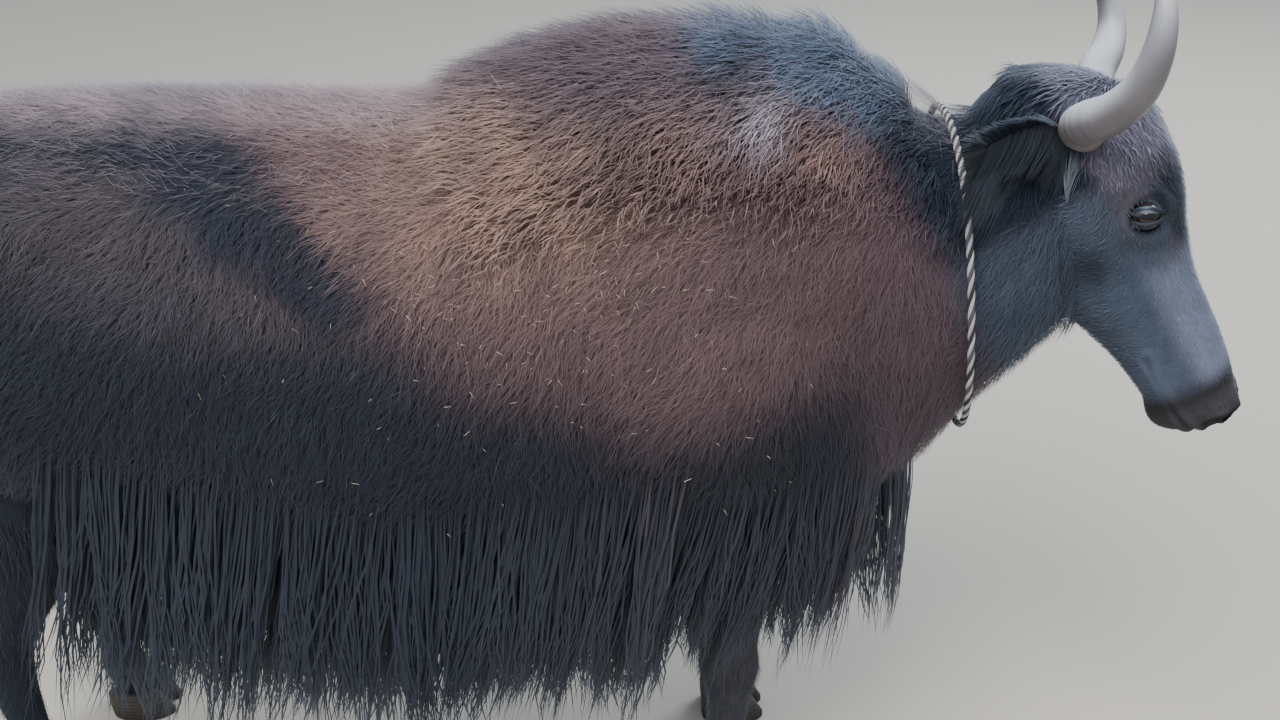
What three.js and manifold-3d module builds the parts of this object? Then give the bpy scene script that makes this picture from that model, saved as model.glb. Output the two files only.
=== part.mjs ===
// A domestic yak cow at life size, standing square with her head half lowered and turned to her right.
// Millimetres. X runs forward, Y to the animal's left, Z up, and the claw soles stand on z = 0.
// The body is modelled whole from a few rows of section sizes and parted with thin cuts.

import * as THREE from 'three';
import Module from 'manifold-3d';
import { mergeVertices } from 'three/addons/utils/BufferGeometryUtils.js';

const wasm = await Module();
wasm.setup();

// Driving dimensions

const GAP = 0.3; // left between neighbouring pieces
const BODY_SIDES = 24; // points round one body section
const HEAD_SIDES = 24;

// Torso and neck sections, rump to skull:
// x, y and z of the centre, rise above it, drop below it, half width, lean and pinch of the top.
const BODY_ROWS = [
  [-712, 0, 850, 60, 110, 60, 0, 1],
  [-690, 0, 835, 185, 180, 140, 0, 1],
  [-640, 0, 815, 262, 225, 205, 0, 1.05],
  [-540, 0, 800, 320, 250, 248, 0, 1.1],
  [-400, 0, 785, 346, 262, 272, 0, 1.05],
  [-220, 0, 765, 364, 285, 292, 0, 1],
  [-40, 0, 750, 378, 305, 302, 0, 1],
  [80, 0, 748, 392, 315, 300, 0, 1.1],
  [200, 0, 752, 420, 318, 290, 0, 1.3],
  [310, 0, 760, 430, 312, 275, 0, 1.45],
  [410, 0, 772, 424, 302, 255, 0, 1.5],
  [500, 0, 790, 390, 290, 228, 2, 1.45],
  [575, 0, 820, 368, 280, 198, 6, 1.3],
  [640, 0, 862, 312, 258, 168, 12, 1.15],
  [695, 0, 915, 214, 232, 146, 18, 1],
  [748, 0, 962, 148, 212, 142, 25, 1],
  [795, -8, 995, 128, 176, 134, 32, 1],
  [838, -14, 1030, 84, 95, 78, 35, 1],
];

// Low swellings of bone and muscle: centre, reach and rise.
const BODY_SWELLS = [
  { at: [-455, 185, 1010], reach: 110, rise: 26 }, // hip point
  { at: [-660, 115, 955], reach: 90, rise: 18 }, // pin bone
  { at: [-520, 235, 800], reach: 190, rise: 24 }, // thigh
  { at: [430, 215, 760], reach: 190, rise: 26 }, // shoulder
  { at: [-60, 290, 640], reach: 260, rise: 24 }, // barrel
  { at: [560, 150, 690], reach: 130, rise: 16 }, // point of the shoulder
];

// The head has its own axes: along from poll to muzzle, out to the left, and face straight off the forehead.
const HEAD_AT = [818, 1, 1094];
const HEAD_TURN = -20; // degrees, to the animal's right
const HEAD_PITCH = 55; // degrees below level
const HEAD_TILT = 8; // degrees, left side lower

// Along the head: place, rise to the face, drop to the jaw, half width and squareness.
const HEAD_ROWS = [
  [-72, -4, 44, 44, 1],
  [-54, 36, 84, 86, 1],
  [-20, 76, 116, 101, 0.95],
  [35, 109, 140, 106, 0.9],
  [95, 120, 152, 106, 0.88],
  [150, 111, 140, 99, 0.86],
  [205, 89, 116, 84, 0.86],
  [262, 72, 92, 67, 0.86],
  [318, 66, 74, 58, 0.86],
  [368, 60, 64, 56, 0.84],
  [405, 52, 58, 58, 0.8],
  [434, 42, 48, 52, 0.8],
  [450, 24, 28, 34, 0.85],
];

const EYE_AT = [157, 91, 57];
const EYE_RADIUS = 17;

// Low swellings of the skull: centre, reach and rise, in the head's axes.
const HEAD_SWELLS = [
  { at: [152, 92, 52], reach: 58, rise: 17 }, // orbit
  { at: [250, 68, -30], reach: 70, rise: 7 }, // cheek muscle
  { at: [20, 40, 105], reach: 90, rise: 8 }, // crown between the horns
  { at: [66, 96, 44], reach: 52, rise: 18 }, // skin swelling under the horn's base
  { at: [428, 32, 24], reach: 34, rise: 12 }, // wing of the nostril
  { at: [412, 46, -10], reach: 34, rise: 6 }, // upper lip
  { at: [420, 0, -52], reach: 42, rise: 7 }, // chin
];
const LID_RADIUS = 19.5;
const LID_SIZES = [3, 4.6, 5.6, 4.6, 3]; // half thickness of a lid from corner to corner

// Horn lines in the head's axes, base to tip, and their thickness. The two horns differ, as the animal's do.
const HORN_RIGHT = [
  [42, -70, 44], [34, -98, 43], [21, -126, 42], [17, -156, 57], [17, -187, 87],
  [5, -212, 125], [-20, -226, 156], [-47, -230, 177], [-72, -227, 190], [-112, -214, 200], [-150, -196, 198],
];
const HORN_LEFT = [
  [42, 70, 44], [33, 98, 44], [14, 124, 49], [-8, 146, 64], [-24, 166, 86],
  [-48, 183, 104], [-76, 187, 114], [-108, 182, 118], [-140, 171, 116], [-172, 156, 110],
];
const HORN_RADII = [20.5, 23.5, 25.5, 25, 22.5, 19, 15.5, 11.5, 7.5, 2];

// Ears: a root, a line out and back, and a leaf round it.
const EAR_LINE = [[34, 78, 10], [26, 102, -4], [14, 130, -22], [0, 156, -40], [-14, 176, -54]];
const EAR_WIDTHS = [17, 28, 35, 25, 5];
const EAR_THICK = [13, 15, 13, 9, 3];
const EAR_FACE = [0.82, 0.1, 0.55]; // the way the open side of the cup looks

// Legs, top to bottom: x, y, z, half length and half width of each section.
const FRONT_LEG = [
  [440, 128, 730, 105, 62],
  [442, 140, 640, 102, 68],
  [436, 146, 540, 82, 62],
  [430, 146, 450, 62, 52],
  [428, 144, 380, 49, 45],
  [431, 143, 320, 47, 44],
  [429, 142, 270, 38, 37],
  [427, 142, 200, 32, 31],
  [428, 142, 130, 32, 32],
  [434, 142, 92, 42, 40],
  [444, 142, 66, 40, 40],
  [448, 142, 48.3, 44, 43],
];
const HIND_LEG = [
  [-540, 128, 800, 120, 84],
  [-545, 142, 700, 138, 96],
  [-540, 150, 610, 122, 92],
  [-540, 154, 530, 92, 74],
  [-562, 154, 450, 66, 55],
  [-592, 152, 385, 52, 43],
  [-602, 150, 340, 47, 40],
  [-598, 150, 280, 38, 34],
  [-590, 150, 200, 33, 31],
  [-582, 150, 130, 33, 32],
  [-574, 150, 92, 43, 40],
  [-562, 150, 66, 40, 40],
  [-558, 150, 48.3, 44, 43],
];
const LEG_SIDES = 16;
const CLAW_TOP = 48;
const CLAW_LENGTH = 104;
const CLAW_WIDTH = 42;
const CLAW_SPLIT = 5;

// The tail's core ends half way to the tips of its hair.
const TAIL_LINE = [
  [-660, 0, 985], [-712, 0, 985], [-748, 0, 930], [-760, 0, 830], [-758, 0, 730], [-752, 0, 650],
];
const TAIL_RADII = [40, 38, 34, 34, 32, 16];

// The rope lies round the neck in one plane.
const ROPE_PLANE = { at: [692, -130, 1053], facing: [0.992, 0, 0.125] };
const ROPE_RADIUS = 5;
const ROPE_SINK = 1.5; // how deep it beds in the coat

// Where the neck is parted from the torso, and where the neck's locks end and the head's begin.
const NECK_BACK = { at: [612, 0, 860], facing: [0.97, 0, 0.24] };
const HEAD_BACK = { at: [784, 0, 892], facing: [0.96, -0.1, -0.24] };

// Locks of long hair. On the body a row runs from one x to another at one angle round the section:
// 0 is the widest line, 90 the ridge and -90 the belly. The lie is back, outwards and down.
// A hanging row is as long as brings its tips to the height named, the others have a length.
const BODY_LOCKS = [
  { name: 'flank skirt', from: -345, to: 290, count: 6, angle: -22, lie: [0.16, 0.16, 1],
    tips: 315, width: 146, thick: 34, lift: 8 },
  { name: 'lower skirt', from: -320, to: 270, count: 5, angle: -48, lie: [0.12, 0.3, 1],
    tips: 268, width: 150, thick: 34, lift: 6 },
  { name: 'belly fringe', from: -270, to: 240, count: 2, angle: -74, lie: [0.1, 0.1, 1],
    tips: 300, width: 185, thick: 40, lift: 4 },
  { name: 'shoulder', from: 350, to: 540, count: 3, angle: -12, lie: [0.26, 0.22, 1],
    tips: 425, width: 120, thick: 32, lift: 8 },
  { name: 'elbow', from: 370, to: 510, count: 2, angle: -42, lie: [0.1, 0.62, 1],
    tips: 330, width: 118, thick: 32, lift: 6 },
  { name: 'brisket', from: 485, to: 585, count: 2, angle: -70, lie: [0.05, 0.05, 1],
    tips: 335, width: 108, thick: 38, lift: 4 },
  { name: 'mane ridge', from: 60, to: 568, count: 6, angle: 90, single: true, lie: [0.93, 0, 0.2],
    length: 185, width: 112, thick: 58, lift: 20 },
  { name: 'mane side', from: 95, to: 565, count: 5, angle: 66, lie: [0.66, 0.42, 0.62],
    length: 195, width: 112, thick: 40, lift: 14 },
  { name: 'mane fall', from: 190, to: 560, count: 3, angle: 42, lie: [0.36, 0.3, 1],
    length: 180, width: 128, thick: 30, lift: 8 },
];
const NECK_LOCKS = [
  { name: 'front of the hump', from: 605, to: 650, count: 2, angle: 80, lie: [0.5, 0.6, 0.6],
    length: 130, width: 104, thick: 46, lift: 18 },
  { name: 'nape', from: 722, to: 762, count: 2, angle: 82, lie: [0.75, 0.4, 0.2],
    length: 82, width: 76, thick: 36, lift: 10 },
  { name: 'neck side', from: 668, to: 765, count: 2, angle: 28, lie: [0.5, 0.24, 1],
    length: 140, width: 96, thick: 28, lift: 8 },
  { name: 'cheek ruff', from: 695, to: 775, count: 2, angle: -18, lie: [0.3, 0.2, 1],
    length: 170, width: 98, thick: 30, lift: 9 },
  { name: 'throat', from: 660, to: 765, count: 2, angle: -70, lie: [0.2, 0.12, 1],
    length: 175, width: 128, thick: 34, lift: 6 },
];

// Locks of the head, each from a root in the head's axes towards a tip, and mirrored to the other side.
const HEAD_LOCKS = [
  { root: [-34, 20, 60], tip: [56, 20, 112], width: 66, thick: 22 }, // crown
  { root: [-40, 60, 34], tip: [24, 100, 70], width: 58, thick: 22 }, // beside the crown
  { root: [6, 22, 88], tip: [102, 20, 101], width: 50, thick: 16 }, // forelock
  { root: [70, 84, 26], tip: [132, 112, -38], width: 40, thick: 16 }, // below the horn
  { root: [120, 46, -126], tip: [172, 66, -214], width: 70, thick: 28 }, // throat latch
  { root: [215, 26, -100], tip: [290, 36, -168], width: 66, thick: 26 }, // jaw
  { root: [385, 14, -52], tip: [432, 20, -104], width: 36, thick: 18 }, // chin
];

// Locks along the lower edge and tip of each ear, from root to tip.
const EAR_LOCKS = [
  { root: [32, 112, -20], tip: [92, 128, -48], width: 38, thick: 13 },
  { root: [28, 138, -42], tip: [94, 164, -78], width: 40, thick: 13 },
  { root: [25, 158, -58], tip: [70, 208, -104], width: 36, thick: 12 },
];

// Rows of locks down a leg: the rows they span, the angle round it, 0 forwards and 90 outwards.
const HIND_LOCKS = [
  { name: 'thigh', from: 1.6, to: 3.3, count: 3, angle: 70, lie: [0.3, 0.24, 1],
    length: 205, width: 112, thick: 30, lift: 7 },
  { name: 'back of the thigh', from: 1.5, to: 3.9, count: 3, angle: 146, lie: [0.32, 0.12, 1],
    length: 205, width: 104, thick: 30, lift: 7 },
];
const FRONT_LOCKS = [
  { name: 'back of the foreleg', from: 2.5, to: 4.5, count: 2, angle: 170, lie: [0.4, 0.04, 1],
    length: 140, width: 64, thick: 24, lift: 5 },
];

// Locks of the tail in rings down its core: place from 0 to 1, count, height of the tips and turn.
const TAIL_LOCKS = [
  { at: 0.45, count: 3, tips: 620, turn: 20 },
  { at: 0.7, count: 3, tips: 480, turn: 75 },
  { at: 0.92, count: 4, tips: 352, turn: 40 },
];
const TAIL_LOCK = { width: 82, thick: 36, lift: 10, sag: 8, swing: 40, rootOut: 24, spread: 0.16 };
const LOCK_SINK = 24; // how deep a root lies in its core
const EAR_SINK = 7; // the same in the thin leaf of the ear
const LOCK_VARY = 0.16; // how far lengths and widths differ from lock to lock
const LOCK_SAG = 0.06; // share of its length that a lock sags
const LOCK_SWING = 0.3; // share of its length that a lock's tip strays to one side
const LIE_FOLLOWS = 0.72; // how far a lie that points into the body is turned along it
const ROOT_STRAY = 0.4; // share of the spacing that a root strays along its row
const ROOT_STRAY_ROUND = 10; // degrees that a root strays round the section

// Boxes that keep the locks of neighbouring parts clear of each other, given for the left side.
const HIND_FRONT_X = -432;
const TAIL_HALF_WIDTH = 92;
const FORELEG_CLEAR = 196;
const HIND_ROOM = { low: [-900, TAIL_HALF_WIDTH + GAP, 60], high: [HIND_FRONT_X - GAP, 400, 900] };
const FRONT_ROOM = { low: [200, 60, 60], high: [600, FORELEG_CLEAR - GAP, 465] };
const TAIL_ROOM = { low: [-900, -TAIL_HALF_WIDTH, 100], high: [-560, TAIL_HALF_WIDTH, 1100] };
const BEHIND_SKIRT = { low: [-900, -400, 0], high: [HIND_FRONT_X, 400, 700] };
const BETWEEN_FORELEGS = { low: [300, -FORELEG_CLEAR, 0], high: [560, FORELEG_CLEAR, 470] };

// Small tools

const vec = (p) => new THREE.Vector3(p[0], p[1], p[2]);
const mirrored = (p, side) => [p[0], p[1] * side, p[2]];
const degrees = THREE.MathUtils.degToRad;
const power = (value, exponent) => Math.sign(value) * Math.abs(value) ** exponent;

function randomSource(seed) {
  let state = seed;
  return () => {
    state = (state * 1664525 + 1013904223) % 4294967296;
    return state / 4294967296;
  };
}

// A closed skin over rings of equal count, each end drawn to a point.
function loft(rings, startPoint, endPoint) {
  const sides = rings[0].length;
  const positions = [];
  rings.flat().forEach((p) => positions.push(p.x, p.y, p.z));
  const mean = (ring) => ring.reduce((sum, p) => sum.add(p), new THREE.Vector3()).divideScalar(sides);
  const first = startPoint ?? mean(rings[0]);
  const last = endPoint ?? mean(rings[rings.length - 1]);
  positions.push(first.x, first.y, first.z, last.x, last.y, last.z);
  const firstIndex = rings.length * sides;
  const index = [];
  for (let i = 0; i < sides; i += 1) {
    const j = (i + 1) % sides;
    index.push(firstIndex, j, i);
    const end = (rings.length - 1) * sides;
    index.push(firstIndex + 1, end + i, end + j);
    for (let r = 0; r + 1 < rings.length; r += 1) {
      const a = r * sides + i;
      const b = r * sides + j;
      index.push(a, b, b + sides, a, b + sides, a + sides);
    }
  }
  const geometry = new THREE.BufferGeometry();
  geometry.setAttribute('position', new THREE.Float32BufferAttribute(positions, 3));
  geometry.setIndex(index);
  return geometry;
}

// A closed loop of rings, the last joined to the first.
function loopLoft(rings) {
  const sides = rings[0].length;
  const positions = [];
  rings.flat().forEach((p) => positions.push(p.x, p.y, p.z));
  const index = [];
  for (let r = 0; r < rings.length; r += 1) {
    const next = (r + 1) % rings.length;
    for (let i = 0; i < sides; i += 1) {
      const j = (i + 1) % sides;
      const a = r * sides + i;
      const b = r * sides + j;
      const c = next * sides + j;
      const d = next * sides + i;
      index.push(a, b, c, a, c, d);
    }
  }
  const geometry = new THREE.BufferGeometry();
  geometry.setAttribute('position', new THREE.Float32BufferAttribute(positions, 3));
  geometry.setIndex(index);
  return geometry;
}

function signedVolume(positions, index) {
  const [a, b, c] = [new THREE.Vector3(), new THREE.Vector3(), new THREE.Vector3()];
  let total = 0;
  for (let i = 0; i < index.length; i += 3) {
    a.fromArray(positions, index[i] * 3);
    b.fromArray(positions, index[i + 1] * 3);
    c.fromArray(positions, index[i + 2] * 3);
    total += a.dot(b.cross(c)) / 6;
  }
  return total;
}

// A solid for joining and cutting, with its faces turned out.
function solid(geometry) {
  const bare = geometry.clone();
  bare.deleteAttribute('normal');
  bare.deleteAttribute('uv');
  const merged = mergeVertices(bare, 1e-4);
  const vertProperties = new Float32Array(merged.attributes.position.array);
  const triVerts = new Uint32Array(merged.index.array);
  if (signedVolume(vertProperties, triVerts) < 0) {
    for (let i = 0; i < triVerts.length; i += 3) {
      [triVerts[i + 1], triVerts[i + 2]] = [triVerts[i + 2], triVerts[i + 1]];
    }
  }
  return new wasm.Manifold(new wasm.Mesh({ numProp: 3, vertProperties, triVerts }));
}

function joined(solids) {
  let queue = solids;
  while (queue.length > 1) {
    const next = [];
    for (let i = 0; i < queue.length; i += 2) {
      next.push(i + 1 < queue.length ? queue[i].add(queue[i + 1]) : queue[i]);
    }
    queue = next;
  }
  return queue[0];
}

function meshVolume(piece) {
  const mesh = piece.getMesh();
  return signedVolume(mesh.vertProperties, mesh.triVerts);
}

// The largest closed surface of a solid, without loose scraps.
function largest(body) {
  const pieces = body.decompose();
  return pieces.reduce((best, piece) => (meshVolume(piece) > meshVolume(best) ? piece : best));
}

// A box that fills one side of a plane.
function halfSpace(plane, shift) {
  const size = 4000;
  const facing = vec(plane.facing).normalize();
  const box = new THREE.BoxGeometry(size, size, size);
  const turn = new THREE.Quaternion().setFromUnitVectors(new THREE.Vector3(1, 0, 0), facing);
  box.applyQuaternion(turn);
  const centre = vec(plane.at).addScaledVector(facing, size / 2 + shift);
  box.translate(centre.x, centre.y, centre.z);
  return solid(box);
}

// A box between two corners, carried over to the right of the body where side is -1.
function block(low, high, side = 1) {
  const size = vec(high).sub(vec(low));
  const box = new THREE.BoxGeometry(size.x, size.y, size.z);
  const centre = vec(high).add(vec(low)).multiplyScalar(0.5);
  box.translate(centre.x, centre.y * side, centre.z);
  return solid(box);
}

// Smooth values between the rows of a table.
function rowAt(rows, place) {
  const last = rows.length - 1;
  const i = Math.min(Math.max(Math.floor(place), 0), last - 1);
  const t = place - i;
  const pick = (n) => rows[Math.min(Math.max(n, 0), last)];
  return rows[i].map((value, k) => {
    const before = pick(i - 1)[k];
    const after = rows[i + 1][k];
    const beyond = pick(i + 2)[k];
    const slopeIn = (after - before) / 2;
    const slopeOut = (beyond - value) / 2;
    const t2 = t * t;
    const t3 = t2 * t;
    return value * (2 * t3 - 3 * t2 + 1) + slopeIn * (t3 - 2 * t2 + t)
      + after * (3 * t2 - 2 * t3) + slopeOut * (t3 - t2);
  });
}

// Body

function bodyPoint(place, angle, grow = 0) {
  const [x, y, z, rise, drop, width, lean, pinch] = rowAt(BODY_ROWS, place);
  const tilt = degrees(lean);
  const up = new THREE.Vector3(-Math.sin(tilt), 0, Math.cos(tilt));
  const c = Math.cos(angle);
  const s = Math.sin(angle);
  const side = (width + grow) * power(c, s > 0 ? pinch : 0.9);
  const height = s > 0 ? (rise + grow) * s : (drop + grow) * s;
  const point = new THREE.Vector3(x, y + side, z).addScaledVector(up, height);
  const outward = new THREE.Vector3(0, c, 0).addScaledVector(up, s).normalize();
  BODY_SWELLS.forEach((swell) => {
    [1, -1].forEach((hand) => {
      const distance = point.distanceTo(vec(mirrored(swell.at, hand)));
      const fall = Math.max(0, 1 - (distance / swell.reach) ** 2);
      point.addScaledVector(outward, swell.rise * fall * fall);
    });
  });
  return point;
}

function bodyNormal(place, angle) {
  const step = 0.02;
  const along = bodyPoint(place + step, angle).sub(bodyPoint(place - step, angle));
  const round = bodyPoint(place, angle + step).sub(bodyPoint(place, angle - step));
  return along.cross(round).normalize().negate();
}

function bodyCore(grow) {
  const rings = [];
  const stepsPerRow = 2;
  const count = (BODY_ROWS.length - 1) * stepsPerRow;
  for (let r = 0; r <= count; r += 1) {
    const ring = [];
    for (let i = 0; i < BODY_SIDES; i += 1) {
      ring.push(bodyPoint(r / stepsPerRow, (i / BODY_SIDES) * Math.PI * 2, grow));
    }
    rings.push(ring);
  }
  const rump = rings[0].reduce((sum, p) => sum.add(p), new THREE.Vector3()).divideScalar(BODY_SIDES);
  rump.x -= 12 + grow;
  return solid(loft(rings, rump));
}

// Place along the body rows whose centre lies at x.
function bodyPlace(x) {
  let low = 0;
  let high = BODY_ROWS.length - 1;
  for (let i = 0; i < 30; i += 1) {
    const middle = (low + high) / 2;
    if (rowAt(BODY_ROWS, middle)[0] < x) {
      low = middle;
    } else {
      high = middle;
    }
  }
  return (low + high) / 2;
}

// Sweeps

// A tapered sweep: an ellipse of the named half sizes, carried along a smooth line.
function sweep(line, halfSizes, sides, steps, facing, grow = 0) {
  const curve = new THREE.CatmullRomCurve3(line);
  const rings = [];
  for (let r = 0; r <= steps; r += 1) {
    const t = r / steps;
    const centre = curve.getPoint(t);
    const tangent = curve.getTangent(t);
    const across = new THREE.Vector3().crossVectors(tangent, facing).normalize();
    const out = new THREE.Vector3().crossVectors(across, tangent).normalize();
    const [wide, thick] = rowAt(halfSizes, t * (halfSizes.length - 1));
    const ring = [];
    for (let i = 0; i < sides; i += 1) {
      const angle = (i / sides) * Math.PI * 2;
      ring.push(centre.clone()
        .addScaledVector(across, (wide + grow) * Math.cos(angle))
        .addScaledVector(out, (thick + grow) * Math.sin(angle)));
    }
    rings.push(ring);
  }
  return loft(rings);
}

function ellipsoid(centre, sizes, axes, grow = 0, sides = 12) {
  const ball = new THREE.SphereGeometry(1, sides, sides * 0.75);
  const basis = new THREE.Matrix4().makeBasis(
    axes[0].clone().multiplyScalar(sizes[0] + grow),
    axes[1].clone().multiplyScalar(sizes[1] + grow),
    axes[2].clone().multiplyScalar(sizes[2] + grow),
  );
  ball.applyMatrix4(basis);
  ball.translate(centre.x, centre.y, centre.z);
  return solid(ball);
}

// Head

const headAxes = (() => {
  const turn = degrees(HEAD_TURN);
  const pitch = degrees(HEAD_PITCH);
  const tilt = degrees(HEAD_TILT);
  const forward = new THREE.Vector3(Math.cos(turn), Math.sin(turn), 0);
  const sideways = new THREE.Vector3(-Math.sin(turn), Math.cos(turn), 0);
  const up = new THREE.Vector3(0, 0, 1);
  const left = sideways.clone().multiplyScalar(Math.cos(tilt)).addScaledVector(up, -Math.sin(tilt));
  const crown = up.clone().multiplyScalar(Math.cos(tilt)).addScaledVector(sideways, Math.sin(tilt));
  const along = forward.clone().multiplyScalar(Math.cos(pitch)).addScaledVector(crown, -Math.sin(pitch));
  const face = forward.clone().multiplyScalar(Math.sin(pitch)).addScaledVector(crown, Math.cos(pitch));
  return [along, left, face];
})();

const headDirection = (p) => new THREE.Vector3()
  .addScaledVector(headAxes[0], p[0])
  .addScaledVector(headAxes[1], p[1])
  .addScaledVector(headAxes[2], p[2]);
const headPoint = (p) => headDirection(p).add(vec(HEAD_AT));

function headSkin(place, angle, grow = 0) {
  const [along, rise, drop, width, square] = rowAt(HEAD_ROWS, place);
  const c = Math.cos(angle);
  const s = Math.sin(angle);
  const out = (width + grow) * power(c, square);
  const height = ((s > 0 ? rise : drop) + grow) * power(s, square);
  const point = new THREE.Vector3(along, out, height);
  const outward = new THREE.Vector3(0, c, s);
  HEAD_SWELLS.forEach((swell) => {
    [1, -1].forEach((hand) => {
      const distance = point.distanceTo(vec(mirrored(swell.at, hand)));
      const fall = Math.max(0, 1 - (distance / swell.reach) ** 2);
      point.addScaledVector(outward, swell.rise * fall * fall);
    });
  });
  return headPoint(point.toArray());
}

function headCore(grow) {
  const stepsPerRow = 2;
  const count = (HEAD_ROWS.length - 1) * stepsPerRow;
  const rings = [];
  for (let r = 0; r <= count; r += 1) {
    const ring = [];
    for (let i = 0; i < HEAD_SIDES; i += 1) {
      ring.push(headSkin(r / stepsPerRow, (i / HEAD_SIDES) * Math.PI * 2, grow));
    }
    rings.push(ring);
  }
  const back = headPoint([HEAD_ROWS[0][0] - 8 - grow, 0, -10]);
  const front = headPoint([HEAD_ROWS[HEAD_ROWS.length - 1][0] + 7 + grow, 0, 0]);
  return solid(loft(rings, back, front));
}

// One eyelid: a thin roll bent over the eyeball between the two corners of the eye.
function lid(side, above) {
  const line = [];
  const steps = 6;
  const opening = degrees(above ? 28 : 26);
  for (let i = 0; i <= steps; i += 1) {
    const swing = (i / steps - 0.5) * degrees(176);
    const lift = Math.cos(swing) * opening * (above ? -1 : 1);
    const reach = LID_RADIUS;
    line.push(headPoint([
      EYE_AT[0] + reach * (0.85 * Math.sin(lift) - 0.42 * Math.sin(swing)),
      side * (EYE_AT[1] + reach * Math.cos(lift) * Math.cos(swing) * 0.82),
      EYE_AT[2] - reach * (0.94 * Math.sin(swing) + 0.36 * Math.sin(lift)),
    ]));
  }
  const sizes = LID_SIZES.map((size) => [size, size]);
  return solid(sweep(line, sizes, 4, 6, headDirection([0, side, 0.1])));
}

function horn(side, grow = 0) {
  const line = (side > 0 ? HORN_LEFT : HORN_RIGHT).map(headPoint);
  const sizes = HORN_RADII.map((radius) => [radius, radius]);
  return solid(sweep(line, sizes, 10, 14, headDirection([0.3, 0, -1]), grow));
}

function ear(side, grow = 0) {
  const line = EAR_LINE.map((p) => headPoint(mirrored(p, side)));
  const sizes = EAR_WIDTHS.map((width, i) => [width, EAR_THICK[i]]);
  const facing = headDirection(mirrored(EAR_FACE, side));
  const leaf = solid(sweep(line, sizes, 8, 6, facing, grow));
  const locks = headedLocks(EAR_LOCKS, side, EAR_SINK, grow);
  if (grow > 0) {
    return joined([leaf, ...locks]);
  }
  const hollowLine = line.slice(1).map((p) => p.clone().addScaledVector(facing.clone().normalize(), 9));
  const hollowSizes = sizes.slice(1).map(([width, thick]) => [width * 0.72, Math.max(thick - 3.5, 0.8)]);
  const cup = leaf.subtract(solid(sweep(hollowLine, hollowSizes, 6, 4, facing)));
  return joined([cup, ...locks]);
}

// Mouth, nostrils and lips

const MOUTH_LINE = [
  [332, 55, -30], [362, 58, -34], [398, 60, -33], [428, 53, -27], [447, 34, -20], [456, 0, -17],
];
const NOSTRIL_AT = [447, 35, 27];
const NOSTRIL_SIZE = [17, 13, 7];

function mouthGroove() {
  const half = MOUTH_LINE.map((p) => headPoint(p));
  const rest = MOUTH_LINE.slice(0, -1).reverse().map((p) => headPoint(mirrored(p, -1)));
  const sizes = [[3, 3], [5, 4], [5, 4], [5, 4], [5, 4], [3, 3]];
  return solid(sweep([...half, ...rest], sizes, 4, 11, headAxes[2]));
}

function nostrils() {
  return [1, -1].map((side) => {
    const tilted = [
      headDirection([1, 0.2 * side, 0.35]).normalize(),
      headDirection([-0.2, side, 0.45]).normalize(),
      headDirection([-0.3, -0.5 * side, 1]).normalize(),
    ];
    tilted[1].addScaledVector(tilted[0], -tilted[1].dot(tilted[0])).normalize();
    tilted[2].crossVectors(tilted[0], tilted[1]);
    return ellipsoid(headPoint(mirrored(NOSTRIL_AT, side)), NOSTRIL_SIZE, tilted, 0, 8);
  });
}

// Legs

function leg(rows, side, grow = 0) {
  const rings = rows.map(([x, y, z, long, wide]) => {
    const ring = [];
    for (let i = 0; i < LEG_SIDES; i += 1) {
      const angle = (i / LEG_SIDES) * Math.PI * 2;
      const along = (long + grow) * Math.cos(angle);
      const across = (wide + grow) * Math.sin(angle);
      ring.push(new THREE.Vector3(x + along, y * side + across, z));
    }
    return ring;
  });
  return solid(loft(rings));
}

// One claw: a flat sole, a sloped front wall and a level top.
function claw(x, y, inward) {
  const levels = [
    { z: 0, long: 0.98, wide: 0.98, shift: 10 },
    { z: 10, long: 1, wide: 1, shift: 9 },
    { z: 30, long: 0.9, wide: 0.98, shift: 2 },
    { z: CLAW_TOP, long: 0.78, wide: 0.92, shift: -4 },
  ];
  const sides = 10;
  const rings = levels.map((level) => {
    const ring = [];
    for (let i = 0; i < sides; i += 1) {
      const angle = (i / sides) * Math.PI * 2;
      const toe = Math.max(0, Math.cos(angle)) ** 2;
      const across = Math.sin(angle) * (1 - 0.28 * toe) * 0.5 * CLAW_WIDTH * level.wide;
      const along = power(Math.cos(angle), 0.8) * 0.5 * CLAW_LENGTH * level.long;
      const bend = toe * 4 * inward;
      ring.push(new THREE.Vector3(x + along + level.shift, y + across + bend, level.z));
    }
    return ring;
  });
  return solid(loft(rings));
}

// Rope round the neck

// The point at one angle round the neck where its surface meets a plane.
function neckPoint(plane, angle, rise) {
  const facing = vec(plane.facing).normalize();
  let low = 12;
  let high = BODY_ROWS.length - 2;
  for (let i = 0; i < 30; i += 1) {
    const middle = (low + high) / 2;
    const ahead = bodyPoint(middle, angle, rise).sub(vec(plane.at)).dot(facing);
    if (ahead < 0) {
      low = middle;
    } else {
      high = middle;
    }
  }
  return bodyPoint(low, angle, rise);
}

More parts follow.
